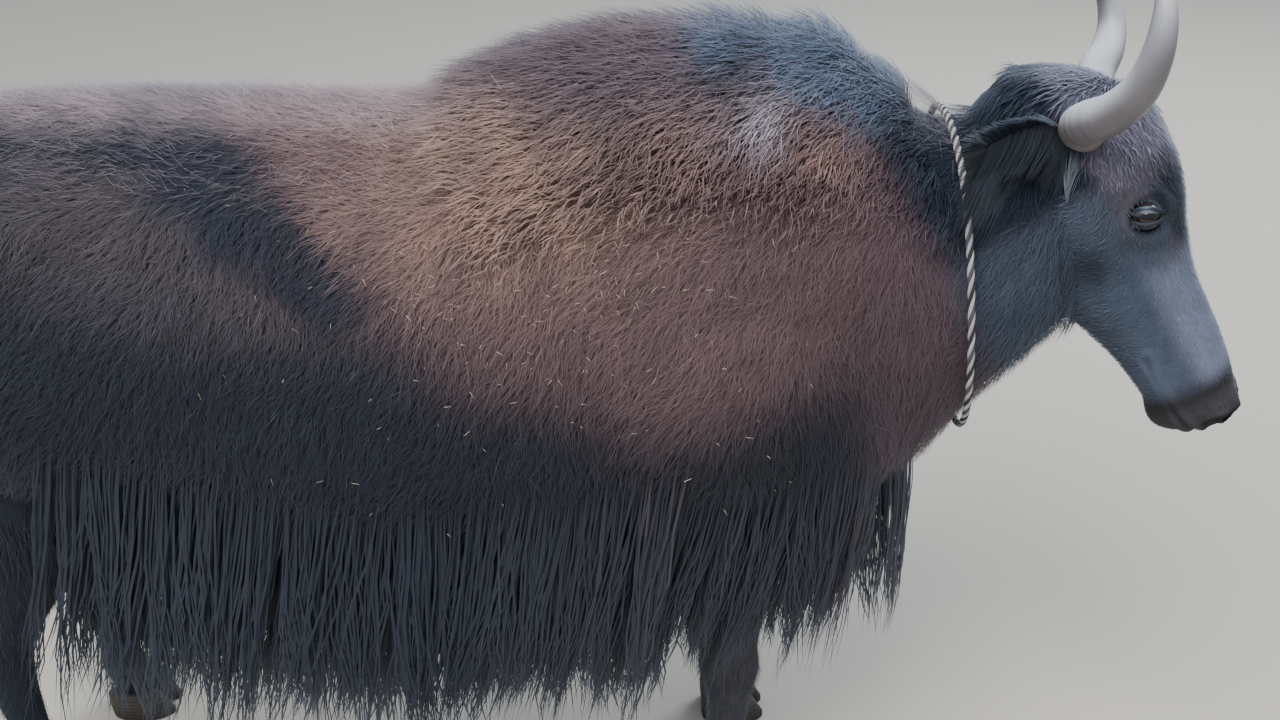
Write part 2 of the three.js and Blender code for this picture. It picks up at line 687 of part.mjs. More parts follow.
function ropeSolid(grow) {
  const count = 24;
  const sides = 6;
  const rings = [];
  const centres = [];
  for (let i = 0; i < count; i += 1) {
    centres.push(neckPoint(ROPE_PLANE, (i / count) * Math.PI * 2, ROPE_RADIUS - ROPE_SINK));
  }
  const middle = centres.reduce((sum, p) => sum.add(p), new THREE.Vector3()).divideScalar(count);
  centres.forEach((centre, i) => {
    const tangent = centres[(i + 1) % count].clone().sub(centres[(i + count - 1) % count]).normalize();
    const outward = centre.clone().sub(middle);
    outward.addScaledVector(tangent, -outward.dot(tangent)).normalize();
    const across = new THREE.Vector3().crossVectors(tangent, outward);
    const ring = [];
    for (let k = 0; k < sides; k += 1) {
      const turn = (k / sides) * Math.PI * 2;
      ring.push(centre.clone()
        .addScaledVector(outward, (ROPE_RADIUS + grow) * Math.cos(turn))
        .addScaledVector(across, (ROPE_RADIUS + grow) * Math.sin(turn)));
    }
    rings.push(ring);
  });
  return solid(loopLoft(rings));
}

// Locks

// Places along a lock from root to tip: how far out from its root's surface and how large its section.
// Wide locks have a ridge on both faces, narrow ones only on the outer face.
const LONG_LOCK = 240;
const WIDE_LOCK = 99;
const LONG_STATIONS = [
  { t: 0, out: -1, size: 0.8 },
  { t: 0.28, out: 0.75, size: 1 },
  { t: 0.62, out: 1, size: 0.84 },
  { t: 0.86, out: 0.75, size: 0.48 },
];
const SHORT_STATIONS = [
  { t: 0, out: -1, size: 0.8 },
  { t: 0.4, out: 0.9, size: 1 },
  { t: 0.78, out: 0.9, size: 0.62 },
];
const WIDE_SECTION = [[1, 0], [0, 1], [-1, 0], [0, -1]];
const NARROW_SECTION = [[1, -0.4], [0, 1], [-1, -0.4]];

// One flat tapered lock: it leaves its root, bends along its lie, sags and swings to one side.
function lock({ root, normal, lie, length, width, thick, lift, sag, swing, sink = LOCK_SINK }) {
  const side = new THREE.Vector3().crossVectors(lie, normal).normalize();
  const at = (t, out) => root.clone()
    .addScaledVector(lie, length * t)
    .addScaledVector(normal, out)
    .addScaledVector(side, swing * t * t)
    .add(new THREE.Vector3(0, 0, -sag * t * t));
  const stations = length < LONG_LOCK ? SHORT_STATIONS : LONG_STATIONS;
  const section = width < WIDE_LOCK ? NARROW_SECTION : WIDE_SECTION;
  const centres = stations.map(({ t, out }) => at(t, out < 0 ? out * sink : out * lift));
  centres.push(at(1, lift * 0.3));
  const rings = stations.map(({ size }, i) => {
    const before = centres[Math.max(i - 1, 0)];
    const tangent = centres[i + 1].clone().sub(before).normalize();
    const out = new THREE.Vector3().crossVectors(side, tangent).normalize();
    const across = new THREE.Vector3().crossVectors(tangent, out);
    return section.map(([w, h]) => centres[i].clone()
      .addScaledVector(across, w * 0.5 * width * size)
      .addScaledVector(out, h * 0.5 * thick * size));
  });
  return solid(loft(rings, centres[0], centres[centres.length - 1]));
}

// A row of locks over a surface, each a little different.
function lockRow(row, side, random, surface) {
  const stray = () => random() - 0.5;
  const vary = () => 1 + stray() * 2 * LOCK_VARY;
  const locks = [];
  for (let i = 0; i < row.count; i += 1) {
    const share = (i + stray() * ROOT_STRAY) / (row.count - 1);
    const where = THREE.MathUtils.lerp(row.from, row.to, Math.min(Math.max(share, 0), 1));
    const angle = degrees(row.angle + stray() * ROOT_STRAY_ROUND);
    const { point, normal } = surface(where, angle, side);
    const lie = new THREE.Vector3(-row.lie[0], 0, -row.lie[2]);
    lie.addScaledVector(new THREE.Vector3(normal.x, normal.y, 0), row.lie[1]).normalize();
    const inwards = Math.min(lie.dot(normal), 0);
    lie.addScaledVector(normal, -LIE_FOLLOWS * inwards).normalize();
    const fullLength = row.tips ? (point.z - row.tips) / -lie.z : row.length;
    const length = fullLength * (1 - Math.abs(stray()) * 2 * LOCK_VARY);
    locks.push(lock({
      root: point,
      normal,
      lie,
      length,
      width: row.width * vary(),
      thick: row.thick,
      lift: row.lift * vary(),
      sag: row.tips ? 0 : length * LOCK_SAG,
      swing: stray() * length * LOCK_SWING,
    }));
  }
  return locks;
}

function bodySurface(x, angle, side) {
  const where = bodyPlace(x);
  const turned = side > 0 ? angle : Math.PI - angle;
  return { point: bodyPoint(where, turned), normal: bodyNormal(where, turned) };
}

function legSurface(rows) {
  return (where, angle, side) => {
    const [x, y, z, long, wide] = rowAt(rows, where);
    const out = new THREE.Vector3(Math.cos(angle), side * Math.sin(angle), 0);
    const point = new THREE.Vector3(x + long * out.x, y * side + wide * out.y, z);
    return { point, normal: new THREE.Vector3(out.x / long, out.y / wide, 0).normalize() };
  };
}

function bothSides(rows, seed, surface) {
  const random = randomSource(seed);
  return rows.flatMap((row) => (row.single ? [1] : [1, -1])
    .flatMap((side) => lockRow(row, side, random, surface)));
}

// Locks given by root and tip in the head's axes, grown by a little where they cut a neighbour.
function headedLocks(list, side, sink, grow = 0) {
  const wider = 6 * grow;
  return list.map(({ root, tip, width, thick }) => {
    const start = headPoint(mirrored(root, side));
    const lie = headPoint(mirrored(tip, side)).sub(start);
    const length = lie.length();
    lie.normalize();
    const normal = start.clone().sub(headPoint([root[0], 0, -20]));
    normal.addScaledVector(lie, -normal.dot(lie)).normalize();
    return lock({
      root: start,
      normal,
      lie,
      length,
      width: width + wider,
      thick: thick + wider,
      lift: thick * 0.35,
      sag: 0,
      swing: 0,
      sink,
    });
  });
}

function tailLocks(seed) {
  const random = randomSource(seed);
  const curve = new THREE.CatmullRomCurve3(TAIL_LINE.map(vec));
  return TAIL_LOCKS.flatMap(({ at, count, tips, turn }) => {
    const centre = curve.getPoint(at);
    const locks = [];
    for (let i = 0; i < count; i += 1) {
      const angle = degrees(turn) + (i / count) * Math.PI * 2;
      const normal = new THREE.Vector3(Math.cos(angle), Math.sin(angle), 0);
      const lie = new THREE.Vector3(0, 0, -1).addScaledVector(normal, TAIL_LOCK.spread).normalize();
      locks.push(lock({
        root: centre.clone().addScaledVector(normal, TAIL_LOCK.rootOut),
        normal,
        lie,
        length: (centre.z - tips) * (1 - random() * LOCK_VARY),
        width: TAIL_LOCK.width,
        thick: TAIL_LOCK.thick,
        lift: TAIL_LOCK.lift,
        sag: TAIL_LOCK.sag,
        swing: (random() - 0.5) * TAIL_LOCK.swing,
      }));
    }
    return locks;
  });
}

// Assembly

const bodyGrown = bodyCore(GAP);
const headGrown = headCore(GAP);
const headPieces = joined([ear(1, GAP), ear(-1, GAP), horn(1, GAP), horn(-1, GAP)]);

const MATERIALS = {
  coat: new THREE.MeshStandardMaterial({ color: 0x4a332a, roughness: 0.95, metalness: 0 }),
  dark_coat: new THREE.MeshStandardMaterial({ color: 0x2c2b33, roughness: 0.95, metalness: 0 }),
  horn: new THREE.MeshStandardMaterial({ color: 0xb9b4ad, roughness: 0.5, metalness: 0 }),
  claw: new THREE.MeshStandardMaterial({ color: 0x26231f, roughness: 0.6, metalness: 0 }),
  eye: new THREE.MeshStandardMaterial({ color: 0x0c0a0a, roughness: 0.08, metalness: 0 }),
  rope: new THREE.MeshStandardMaterial({ color: 0xa59c92, roughness: 0.9, metalness: 0 }),
};

const yak = new THREE.Group();

function place(name, body, material) {
  const whole = largest(body);
  const mesh = whole.getMesh();
  const geometry = new THREE.BufferGeometry();
  geometry.setAttribute('position', new THREE.Float32BufferAttribute(mesh.vertProperties, 3));
  geometry.setIndex(Array.from(mesh.triVerts));
  geometry.computeVertexNormals();
  const piece = new THREE.Mesh(geometry, MATERIALS[material]);
  piece.name = name;
  yak.add(piece);
}

const legs = [];
[['left', 1], ['right', -1]].forEach(([hand, side]) => {
  [['front', FRONT_LEG], ['hind', HIND_LEG]].forEach(([end, rows]) => {
    legs.push({ name: `leg_${end}_${hand}`, rows, side, end });
  });
});

const torsoLocks = joined(bothSides(BODY_LOCKS, 7, bodySurface))
  .subtract(joined(legs.map(({ rows, side }) => leg(rows, side, GAP))))
  .subtract(block(BEHIND_SKIRT.low, BEHIND_SKIRT.high))
  .subtract(block(BETWEEN_FORELEGS.low, BETWEEN_FORELEGS.high));
const neckLocks = joined(bothSides(NECK_LOCKS, 11, bodySurface))
  .subtract(halfSpace(HEAD_BACK, -GAP / 2));
const bodyWhole = joined([bodyCore(0), torsoLocks, neckLocks]);

place('torso', bodyWhole.subtract(halfSpace(NECK_BACK, -GAP / 2)), 'coat');

const neck = bodyWhole
  .intersect(halfSpace(NECK_BACK, GAP / 2))
  .subtract(headGrown)
  .subtract(headPieces)
  .subtract(ropeSolid(GAP));
place('neck', neck, 'coat');

const HEAD_BEHIND = { at: HEAD_BACK.at, facing: HEAD_BACK.facing.map((value) => -value) };
const headLocks = joined([1, -1].flatMap((side) => headedLocks(HEAD_LOCKS, side, LOCK_SINK)))
  .subtract(bodyGrown)
  .subtract(halfSpace(HEAD_BEHIND, -GAP / 2))
  .subtract(headPieces);
const headWhole = joined([
  headCore(0), headLocks, lid(1, true), lid(1, false), lid(-1, true), lid(-1, false),
]);
const eyeSockets = [1, -1].map((side) => ellipsoid(
  headPoint(mirrored(EYE_AT, side)), [EYE_RADIUS, EYE_RADIUS, EYE_RADIUS], headAxes, GAP));
const head = headWhole
  .subtract(joined(eyeSockets))
  .subtract(mouthGroove())
  .subtract(joined(nostrils()));
place('head', head, 'dark_coat');

[['left', 1], ['right', -1]].forEach(([hand, side]) => {
  place(`ear_${hand}`, ear(side).subtract(headGrown).subtract(horn(side, GAP)), 'dark_coat');
  const ball = ellipsoid(headPoint(mirrored(EYE_AT, side)), [EYE_RADIUS, EYE_RADIUS, EYE_RADIUS], headAxes);
  place(`eye_${hand}`, ball, 'eye');
  place(`horn_${hand}`, horn(side).subtract(headGrown), 'horn');
});

legs.forEach(({ name, rows, side, end }) => {
  const list = end === 'hind' ? HIND_LOCKS : FRONT_LOCKS;
  const random = randomSource(end === 'hind' ? 23 : 29);
  const locks = joined(list.flatMap((row) => lockRow(row, side, random, legSurface(rows))));
  const room = end === 'hind' ? HIND_ROOM : FRONT_ROOM;
  const kept = locks.intersect(block(room.low, room.high, side));
  place(name, leg(rows, side).add(kept).subtract(bodyGrown), 'coat');
  const [x, y] = rows[rows.length - 1];
  [['outer', 1], ['inner', -1]].forEach(([where, out]) => {
    const centre = y * side + out * side * (CLAW_WIDTH + CLAW_SPLIT) / 2;
    place(name.replace('leg', `claw_${where}`), claw(x, centre, -out * side), 'claw');
  });
});

const tailSizes = TAIL_RADII.map((radius) => [radius, radius]);
const tail = solid(sweep(TAIL_LINE.map(vec), tailSizes, 10, 10, new THREE.Vector3(1, 0, 0)));
const tailHair = joined(tailLocks(31)).intersect(block(TAIL_ROOM.low, TAIL_ROOM.high));
place('tail', tail.add(tailHair).subtract(bodyGrown), 'dark_coat');

place('neck_rope', ropeSolid(0), 'rope');

// The origin is the middle of the bottom of the whole model's box.
const extent = new THREE.Box3().setFromObject(yak);
const centre = extent.getCenter(new THREE.Vector3());
yak.position.set(-centre.x, -centre.y, -extent.min.z);
yak.updateMatrixWorld(true);

export default yak;
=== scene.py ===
"""The look of a life-size domestic yak cow over her CAD frame.

Lengths are millimetres in the solids' own axes: X forward, Y to the animal's left, Z up.
They become metres in the shared frame where a mesh is made.
"""

import math

import bmesh
import bpy
import numpy as np
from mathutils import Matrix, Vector
from mathutils.bvhtree import BVHTree
from mathutils.kdtree import KDTree


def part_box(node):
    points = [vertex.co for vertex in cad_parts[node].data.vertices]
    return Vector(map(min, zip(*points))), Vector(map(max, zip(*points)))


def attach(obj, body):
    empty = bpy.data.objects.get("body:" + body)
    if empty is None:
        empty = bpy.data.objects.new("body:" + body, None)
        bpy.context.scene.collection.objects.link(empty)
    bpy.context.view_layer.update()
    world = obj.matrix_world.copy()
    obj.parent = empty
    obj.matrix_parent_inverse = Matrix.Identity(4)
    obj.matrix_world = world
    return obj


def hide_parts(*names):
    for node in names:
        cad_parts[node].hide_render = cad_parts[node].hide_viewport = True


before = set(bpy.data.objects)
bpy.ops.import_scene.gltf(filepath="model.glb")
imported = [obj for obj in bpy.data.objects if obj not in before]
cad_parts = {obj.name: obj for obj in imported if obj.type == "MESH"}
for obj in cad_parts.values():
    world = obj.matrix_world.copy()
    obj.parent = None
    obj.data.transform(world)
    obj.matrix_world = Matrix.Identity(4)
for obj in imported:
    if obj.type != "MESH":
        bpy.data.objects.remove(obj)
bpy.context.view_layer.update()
random = np.random.default_rng(41)

# Body sections, rump to skull: x, y, z, rise, drop, half width, lean and pinch of the top.
BODY_ROWS = np.array([
    [-712, 0, 850, 60, 110, 60, 0, 1],
    [-690, 0, 835, 185, 180, 140, 0, 1],
    [-640, 0, 815, 262, 225, 205, 0, 1.05],
    [-540, 0, 800, 320, 250, 248, 0, 1.1],
    [-400, 0, 785, 346, 262, 272, 0, 1.05],
    [-220, 0, 765, 364, 285, 292, 0, 1],
    [-40, 0, 750, 378, 305, 302, 0, 1],
    [80, 0, 748, 392, 315, 300, 0, 1.1],
    [200, 0, 752, 420, 318, 290, 0, 1.3],
    [310, 0, 760, 430, 312, 275, 0, 1.45],
    [410, 0, 772, 424, 302, 255, 0, 1.5],
    [500, 0, 790, 390, 290, 228, 2, 1.45],
    [575, 0, 820, 368, 280, 198, 6, 1.3],
    [640, 0, 862, 312, 258, 168, 12, 1.15],
    [695, 0, 915, 214, 232, 146, 18, 1],
    [748, 0, 962, 148, 212, 142, 25, 1],
    [795, -8, 995, 128, 176, 134, 32, 1],
    [838, -14, 1030, 84, 95, 78, 35, 1],
])
# Centre, reach and rise of the low swellings of bone and muscle.
BODY_SWELLS = [
    ([-455, 185, 1010], 110, 26),
    ([-660, 115, 955], 90, 18),
    ([-520, 235, 800], 190, 24),
    ([430, 215, 760], 190, 26),
    ([-60, 290, 640], 260, 24),
    ([560, 150, 690], 130, 16),
]
BODY_DEPTH = [  # x and the depth of the coat over the skin
    (-712, 10), (-640, 13), (-400, 16), (0, 16), (200, 20), (400, 24), (575, 21), (700, 17), (838, 14),
]

# The head's own axes: along from poll to muzzle, out to the left, and face straight off the forehead.
HEAD_AT = np.array([818, 1, 1094])
HEAD_TURN = -20
HEAD_PITCH = 55
HEAD_TILT = 8
# Along the head: place, rise to the face, drop to the jaw, half width and squareness.
HEAD_ROWS = np.array([
    [-72, -4, 44, 44, 1],
    [-54, 36, 84, 86, 1],
    [-20, 76, 116, 101, 0.95],
    [35, 109, 140, 106, 0.9],
    [95, 120, 152, 106, 0.88],
    [150, 111, 140, 99, 0.86],
    [205, 89, 116, 84, 0.86],
    [262, 72, 92, 67, 0.86],
    [318, 66, 74, 58, 0.86],
    [368, 60, 64, 56, 0.84],
    [405, 52, 58, 58, 0.8],
    [434, 42, 48, 52, 0.8],
    [450, 24, 28, 34, 0.85],
])
HEAD_SWELLS = [
    ([152, 92, 52], 58, 17),
    ([250, 68, -30], 70, 7),
    ([20, 40, 105], 90, 8),
    ([66, 96, 44], 52, 18),
    ([428, 32, 24], 34, 12),
    ([412, 46, -10], 34, 6),
    ([420, 0, -52], 42, 7),
]
HEAD_DEPTH = [(-84, 14), (0, 12), (60, 9), (150, 6), (250, 4), (380, 1.5), (450, 0)]
EYE_AT = np.array([157, 91, 57])
EYE_RADIUS = 17
EYE_LOOKS_UP = 12
HORN_ROOT = np.array([34, 98, 43])
HORN_RIGHT = np.array([
    [42, -70, 44], [34, -98, 43], [21, -126, 42], [17, -156, 57], [17, -187, 87],
    [5, -212, 125], [-20, -226, 156], [-47, -230, 177], [-72, -227, 190], [-112, -214, 200],
    [-150, -196, 198],
])
HORN_LEFT = np.array([
    [42, 70, 44], [33, 98, 44], [14, 124, 49], [-8, 146, 64], [-24, 166, 86],
    [-48, 183, 104], [-76, 187, 114], [-108, 182, 118], [-140, 171, 116], [-172, 156, 110],
])
HORN_RADII = np.array([20.5, 23.5, 25.5, 25, 22.5, 19, 15.5, 11.5, 7.5, 2])
EAR_LINE = np.array([[34, 78, 10], [26, 102, -4], [14, 130, -22], [0, 156, -40], [-14, 176, -54]])
EAR_WIDTHS = [17, 28, 35, 25, 5]
EAR_THICK = [13, 15, 13, 9, 3]
EAR_FACE = np.array([0.82, 0.1, 0.55])

# Legs, top to bottom: x, y, z, half length and half width.
FRONT_LEG = np.array([
    [440, 128, 730, 105, 62], [442, 140, 640, 102, 68], [436, 146, 540, 82, 62],
    [430, 146, 450, 62, 52], [428, 144, 380, 49, 45], [431, 143, 320, 47, 44],
    [429, 142, 270, 38, 37], [427, 142, 200, 32, 31], [428, 142, 130, 32, 32],
    [434, 142, 92, 42, 40], [444, 142, 66, 40, 40], [448, 142, 48.3, 44, 43],
])
HIND_LEG = np.array([
    [-540, 128, 800, 120, 84], [-545, 142, 700, 138, 96], [-540, 150, 610, 122, 92],
    [-540, 154, 530, 92, 74], [-562, 154, 450, 66, 55], [-592, 152, 385, 52, 43],
    [-602, 150, 340, 47, 40], [-598, 150, 280, 38, 34], [-590, 150, 200, 33, 31],
    [-582, 150, 130, 33, 32], [-574, 150, 92, 43, 40], [-562, 150, 66, 40, 40],
    [-558, 150, 48.3, 44, 43],
])
HANDS = (("left", 1), ("right", -1))
LEGS = (("front", FRONT_LEG), ("hind", HIND_LEG))
LEG_DEPTH = [(40, 3), (66, 4), (120, 5), (300, 7), (450, 10), (600, 18), (800, 24)]
CLAW_TOP = 48
CLAW_LENGTH = 104
CLAW_WIDTH = 42
CLAW_SPLIT = 5

TAIL_LINE = np.array([
    [-660, 0, 985], [-712, 0, 985], [-748, 0, 930], [-760, 0, 830], [-758, 0, 730], [-752, 0, 650],
])
TAIL_RADII = np.array([40, 38, 34, 34, 32, 16])
TAIL_DEPTH = 14
TAIL_TIPS = 352  # height of the lowest tail hair
ROPE_PLANE_AT = np.array([692, -130, 1053])
ROPE_PLANE_FACING = np.array([0.992, 0, 0.125])
ROPE_RADIUS = 5
ROPE_SINK = 1.5
ROPE_LAY = 44  # the length of one turn of its strands
ROPE_STRANDS = [("#b9b7b8", 0.0), ("#3a383d", 0.25), ("#aeaaab", 0.5), ("#55525a", 0.75)]
STRAND_OFF = 2.4
STRAND_RADIUS = 2.5

CAMERA_AT = np.array([300, -1700, 1610])
CAMERA_DOWN = 27
CAMERA_LENS = 38.67
SENSOR = 36


# Small tools

def unit(v):
    return v / np.maximum(np.linalg.norm(v, axis=-1, keepdims=True), 1e-9)


def power(value, exponent):
    return np.sign(value) * np.abs(value) ** exponent


def smooth(low, high, value):
    t = np.clip((value - low) / (high - low), 0, 1)
    return t * t * (3 - 2 * t)


def table(pairs, value):
    places, values = zip(*pairs)
    return np.interp(value, places, values)


def mirrored(points, side):
    return np.asarray(points) * np.array([1, side, 1])


def curve(here, after, slope_in, slope_out, t):
    """A smooth curve from one value to the next with the slopes at both."""
    t2 = t * t
    t3 = t2 * t
    return (here * (2 * t3 - 3 * t2 + 1) + slope_in * (t3 - 2 * t2 + t)
            + after * (3 * t2 - 2 * t3) + slope_out * (t3 - t2))


def row_at(rows, place):
    """Smooth values between the rows of a table."""
    rows = np.asarray(rows, float)
    place = np.asarray(place, float)
    last = len(rows) - 1
    i = np.clip(np.floor(place).astype(int), 0, last - 1)
    before = rows[np.clip(i - 1, 0, last)]
    here, after = rows[i], rows[i + 1]
    beyond = rows[np.clip(i + 2, 0, last)]
    return curve(here, after, (after - before) / 2, (beyond - here) / 2, (place - i)[..., None])


def line_at(points, share):
    """A centripetal Catmull-Rom line through the points, share from 0 to 1."""
    points = np.asarray(points, float)
    share = np.asarray(share, float)
    full = np.vstack([2 * points[0] - points[1], points, 2 * points[-1] - points[-2]])
    last = len(points) - 1
    i = np.clip(np.floor(share * last).astype(int), 0, last - 1)
    p0, p1, p2, p3 = full[i], full[i + 1], full[i + 2], full[i + 3]
    d0, d1, d2 = (np.linalg.norm(b - a, axis=-1, keepdims=True) ** 0.5
                  for a, b in ((p0, p1), (p1, p2), (p2, p3)))
    m1 = ((p1 - p0) / d0 - (p2 - p0) / (d0 + d1) + (p2 - p1) / d1) * d1
    m2 = ((p2 - p1) / d1 - (p3 - p1) / (d1 + d2) + (p3 - p2) / d2) * d1
    return curve(p1, p2, m1, m2, (share * last - i)[..., None])


RIPPLE_WAVES = 7


def ripple(points, size, seed):
    """Smooth noise from -1 to 1 with features of about the named size."""
    source = np.random.default_rng(seed)
    total = np.zeros(len(points))
    for _ in range(RIPPLE_WAVES):
        direction = unit(source.normal(size=3)) * 2 * math.pi / (size * source.uniform(1.4, 3.4))
        total += np.sin(points @ direction + source.uniform(0, 2 * math.pi))
    return np.clip(total / 3, -1, 1)


def round_angles(count):
    """Angles evenly round a circle."""
    return np.linspace(0, 2 * math.pi, count, endpoint=False)


def point_tree(points):
    """A tree to find the nearest of the points with."""
    tree = KDTree(len(points))
    for i, p in enumerate(points):
        tree.insert(p, i)
    tree.balance()
    return tree


def linear(hex_colour):
    """An sRGB colour as linear red, green and blue."""
    value = np.array([int(hex_colour[i:i + 2], 16) for i in (1, 3, 5)]) / 255
    return np.where(value <= 0.04045, value / 12.92, ((value + 0.055) / 1.055) ** 2.4)


# Surfaces of the animal

def swollen(point, outward, swells):
    """The points moved outward by the low swellings of both sides."""
    for centre, reach, rise in swells:
        for hand in (1, -1):
            distance = np.linalg.norm(point - mirrored(centre, hand), axis=-1)
            fall = np.maximum(0, 1 - (distance / reach) ** 2)
            point = point + outward * (rise * fall * fall)[..., None]
    return point


def body_point(place, angle, grow=0):
    x, y, z, rise, drop, width, lean, pinch = np.moveaxis(row_at(BODY_ROWS, place), -1, 0)
    tilt = np.radians(lean)
    zero = np.zeros_like(x)
    up = np.stack([-np.sin(tilt), zero, np.cos(tilt)], -1)
    c, s = np.cos(angle), np.sin(angle)
    side = (width + grow) * power(c, np.where(s > 0, pinch, 0.9))
    height = np.where(s > 0, rise + grow, drop + grow) * s
    point = np.stack([x, y + side, z], -1) + up * height[..., None]
    outward = unit(np.stack([zero, c, zero], -1) + up * s[..., None])
    return swollen(point, outward, BODY_SWELLS)


def turned_axes():
    turn, pitch, tilt = (math.radians(v) for v in (HEAD_TURN, HEAD_PITCH, HEAD_TILT))
    forward = np.array([math.cos(turn), math.sin(turn), 0])
    sideways = np.array([-math.sin(turn), math.cos(turn), 0])
    up = np.array([0, 0, 1.0])
    left = sideways * math.cos(tilt) - up * math.sin(tilt)
    crown = up * math.cos(tilt) + sideways * math.sin(tilt)
    along = forward * math.cos(pitch) - crown * math.sin(pitch)
    face = forward * math.sin(pitch) + crown * math.cos(pitch)
    return np.array([along, left, face])


HEAD_AXES = turned_axes()


def head_direction(p):
    return np.asarray(p, float) @ HEAD_AXES


def head_point(p):
    return head_direction(p) + HEAD_AT


def head_local(points):
    return (points - HEAD_AT) @ HEAD_AXES.T


def on_left(local):
    """Places in the head's axes, with those of the right side laid on the left."""
    return np.stack([local[:, 0], np.abs(local[:, 1]), local[:, 2]], -1)


def eye_distance(local):
    return np.linalg.norm(on_left(local) - EYE_AT, axis=1)


def head_form(place, angle, grow=0):
    """The head's surface in its own axes."""
    along, rise, drop, width, square = np.moveaxis(row_at(HEAD_ROWS, place), -1, 0)
    c, s = np.cos(angle), np.sin(angle)
    out = (width + grow) * power(c, square)
    height = (np.where(s > 0, rise, drop) + grow) * power(s, square)
    point = np.stack([along + 0 * c, out, height], -1)
    return swollen(point, np.stack([np.zeros_like(c), c, s], -1), HEAD_SWELLS)


def leg_point(rows, side, place, angle, grow=0):
    x, y, z, long, wide = np.moveaxis(row_at(rows, place), -1, 0)
    return np.stack([x + (long + grow) * np.cos(angle), (y + (wide + grow) * np.sin(angle)) * side, z], -1)


def tail_point(place, angle, grow=0):
    share = np.asarray(place) / (len(TAIL_LINE) - 1)
    centre = line_at(TAIL_LINE, share)
    ahead, behind = np.minimum(share + 0.01, 1), np.maximum(share - 0.01, 0)
    tangent = unit(line_at(TAIL_LINE, ahead) - line_at(TAIL_LINE, behind))
    across = np.zeros_like(tangent)
    across[..., 1] = 1
    out = np.cross(across, tangent)
    radius = row_at(TAIL_RADII[:, None], place)[..., 0] + grow
    return centre + across * (radius * np.cos(angle))[..., None] + out * (radius * np.sin(angle))[..., None]


# The frame's eye fixes where the design axes lie in the shared frame.
eye_low, eye_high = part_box("eye_right")
SHIFT = np.array((eye_low + eye_high) / 2) * 1000 - head_point(mirrored(EYE_AT, -1))


# Making objects

NORMAL_SOFTNESS = 0.82  # how far the shading of hair follows the skin below it


def add_object(name, data):
    """A new object in the scene."""
    item = bpy.data.objects.new(name, data)
    bpy.context.collection.objects.link(item)
    return item


def mesh_from(name, points, faces, colours=None, uvs=None, soft_normals=None):
    """A mesh from points in millimetres and triangles or quads in one array."""
    mesh = bpy.data.meshes.new(name)
    points = (np.asarray(points).reshape(-1, 3) + SHIFT) * 0.001
    faces = np.asarray(faces, np.int32)
    count, corners = faces.shape
    mesh.vertices.add(len(points))
    mesh.vertices.foreach_set("co", points.astype(np.float32).ravel())
    mesh.loops.add(count * corners)
    mesh.loops.foreach_set("vertex_index", faces.ravel())
    mesh.polygons.add(count)
    mesh.polygons.foreach_set("loop_start", np.arange(0, count * corners, corners, dtype=np.int32))
    mesh.polygons.foreach_set("use_smooth", np.ones(count, bool))
    mesh.update(calc_edges=True)
    for uv_name, uv in (uvs or {}).items():
        layer = mesh.uv_layers.new(name=uv_name)
        layer.data.foreach_set("uv", uv[faces.ravel()].astype(np.float32).ravel())
    if colours is not None:
        tint(mesh, colours)
    mesh.validate()
    if soft_normals is not None:
        own = np.zeros(len(points) * 3, np.float32)
        mesh.vertices.foreach_get("normal", own)
        mixed = unit(own.reshape(-1, 3) * (1 - NORMAL_SOFTNESS) + soft_normals * NORMAL_SOFTNESS)
        mesh.normals_split_custom_set_from_vertices(mixed)
    return mesh


def tint(mesh, colours):
    """Stores one linear colour for each vertex."""
    layer = mesh.color_attributes.new(name="Tint", type="FLOAT_COLOR", domain="POINT")
    full = np.ones((len(mesh.vertices), 4), np.float32)
    full[:, :3] = colours
    layer.data.foreach_set("color", full.ravel())


def place_piece(name, mesh, material, nodes=()):
    """Adds a mesh to the scene as a piece that rides the frame's root."""
    piece = add_object(name, mesh)
    mesh.materials.append(material)
    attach(piece, "root")
    if nodes:
        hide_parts(*nodes)


def halved(quads):
    """Two triangles for each quad."""
    return np.vstack([quads[:, [0, 1, 2]], quads[:, [0, 2, 3]]])


def loft_faces(rings, sides):
    """Quads round a grid of points, ring after ring."""
    r, i = np.meshgrid(np.arange(rings - 1), np.arange(sides), indexing="ij")
    j = (i + 1) % sides
    quads = np.stack([r * sides + i, r * sides + j, (r + 1) * sides + j, (r + 1) * sides + i], -1)
    return quads.reshape(-1, 4)


def closed_loft(grid):
    """Points and triangles of a grid of rings, with both ends closed to their middles."""
    rings, sides = grid.shape[:2]
    points = np.vstack([grid.reshape(-1, 3), grid[0].mean(0), grid[-1].mean(0)])
    i = np.arange(sides)
    j = (i + 1) % sides
    first = np.stack([np.full(sides, rings * sides), j, i], -1)
    end = (rings - 1) * sides
    last = np.stack([np.full(sides, rings * sides + 1), end + i, end + j], -1)
    return points, np.vstack([halved(loft_faces(rings, sides)), first, last])


def gathered(parts):
    """One set of points and triangles from several."""
    points, triangles, count = [], [], 0
    for p, t in parts:
        points.append(p)
        triangles.append(t + count)
        count += len(p)
    return np.vstack(points), np.vstack(triangles)


def grid_of(surface, last, steps, sides):
    place, angle = np.meshgrid(
        np.linspace(0, last, steps), round_angles(sides), indexing="ij")
    return surface(place, angle)


def tube(centres, radii, sides, facing):
    """Round rings along a line, with one radius for each ring."""
    tangent = unit(np.gradient(centres, axis=0))
    across = unit(np.cross(tangent, facing))
    out = np.cross(across, tangent)
    angle = round_angles(sides)
    wide = radii[:, None, None] * np.cos(angle)[None, :, None]
    thick = radii[:, None, None] * np.sin(angle)[None, :, None]
    return centres[:, None] + across[:, None] * wide + out[:, None] * thick


# Materials

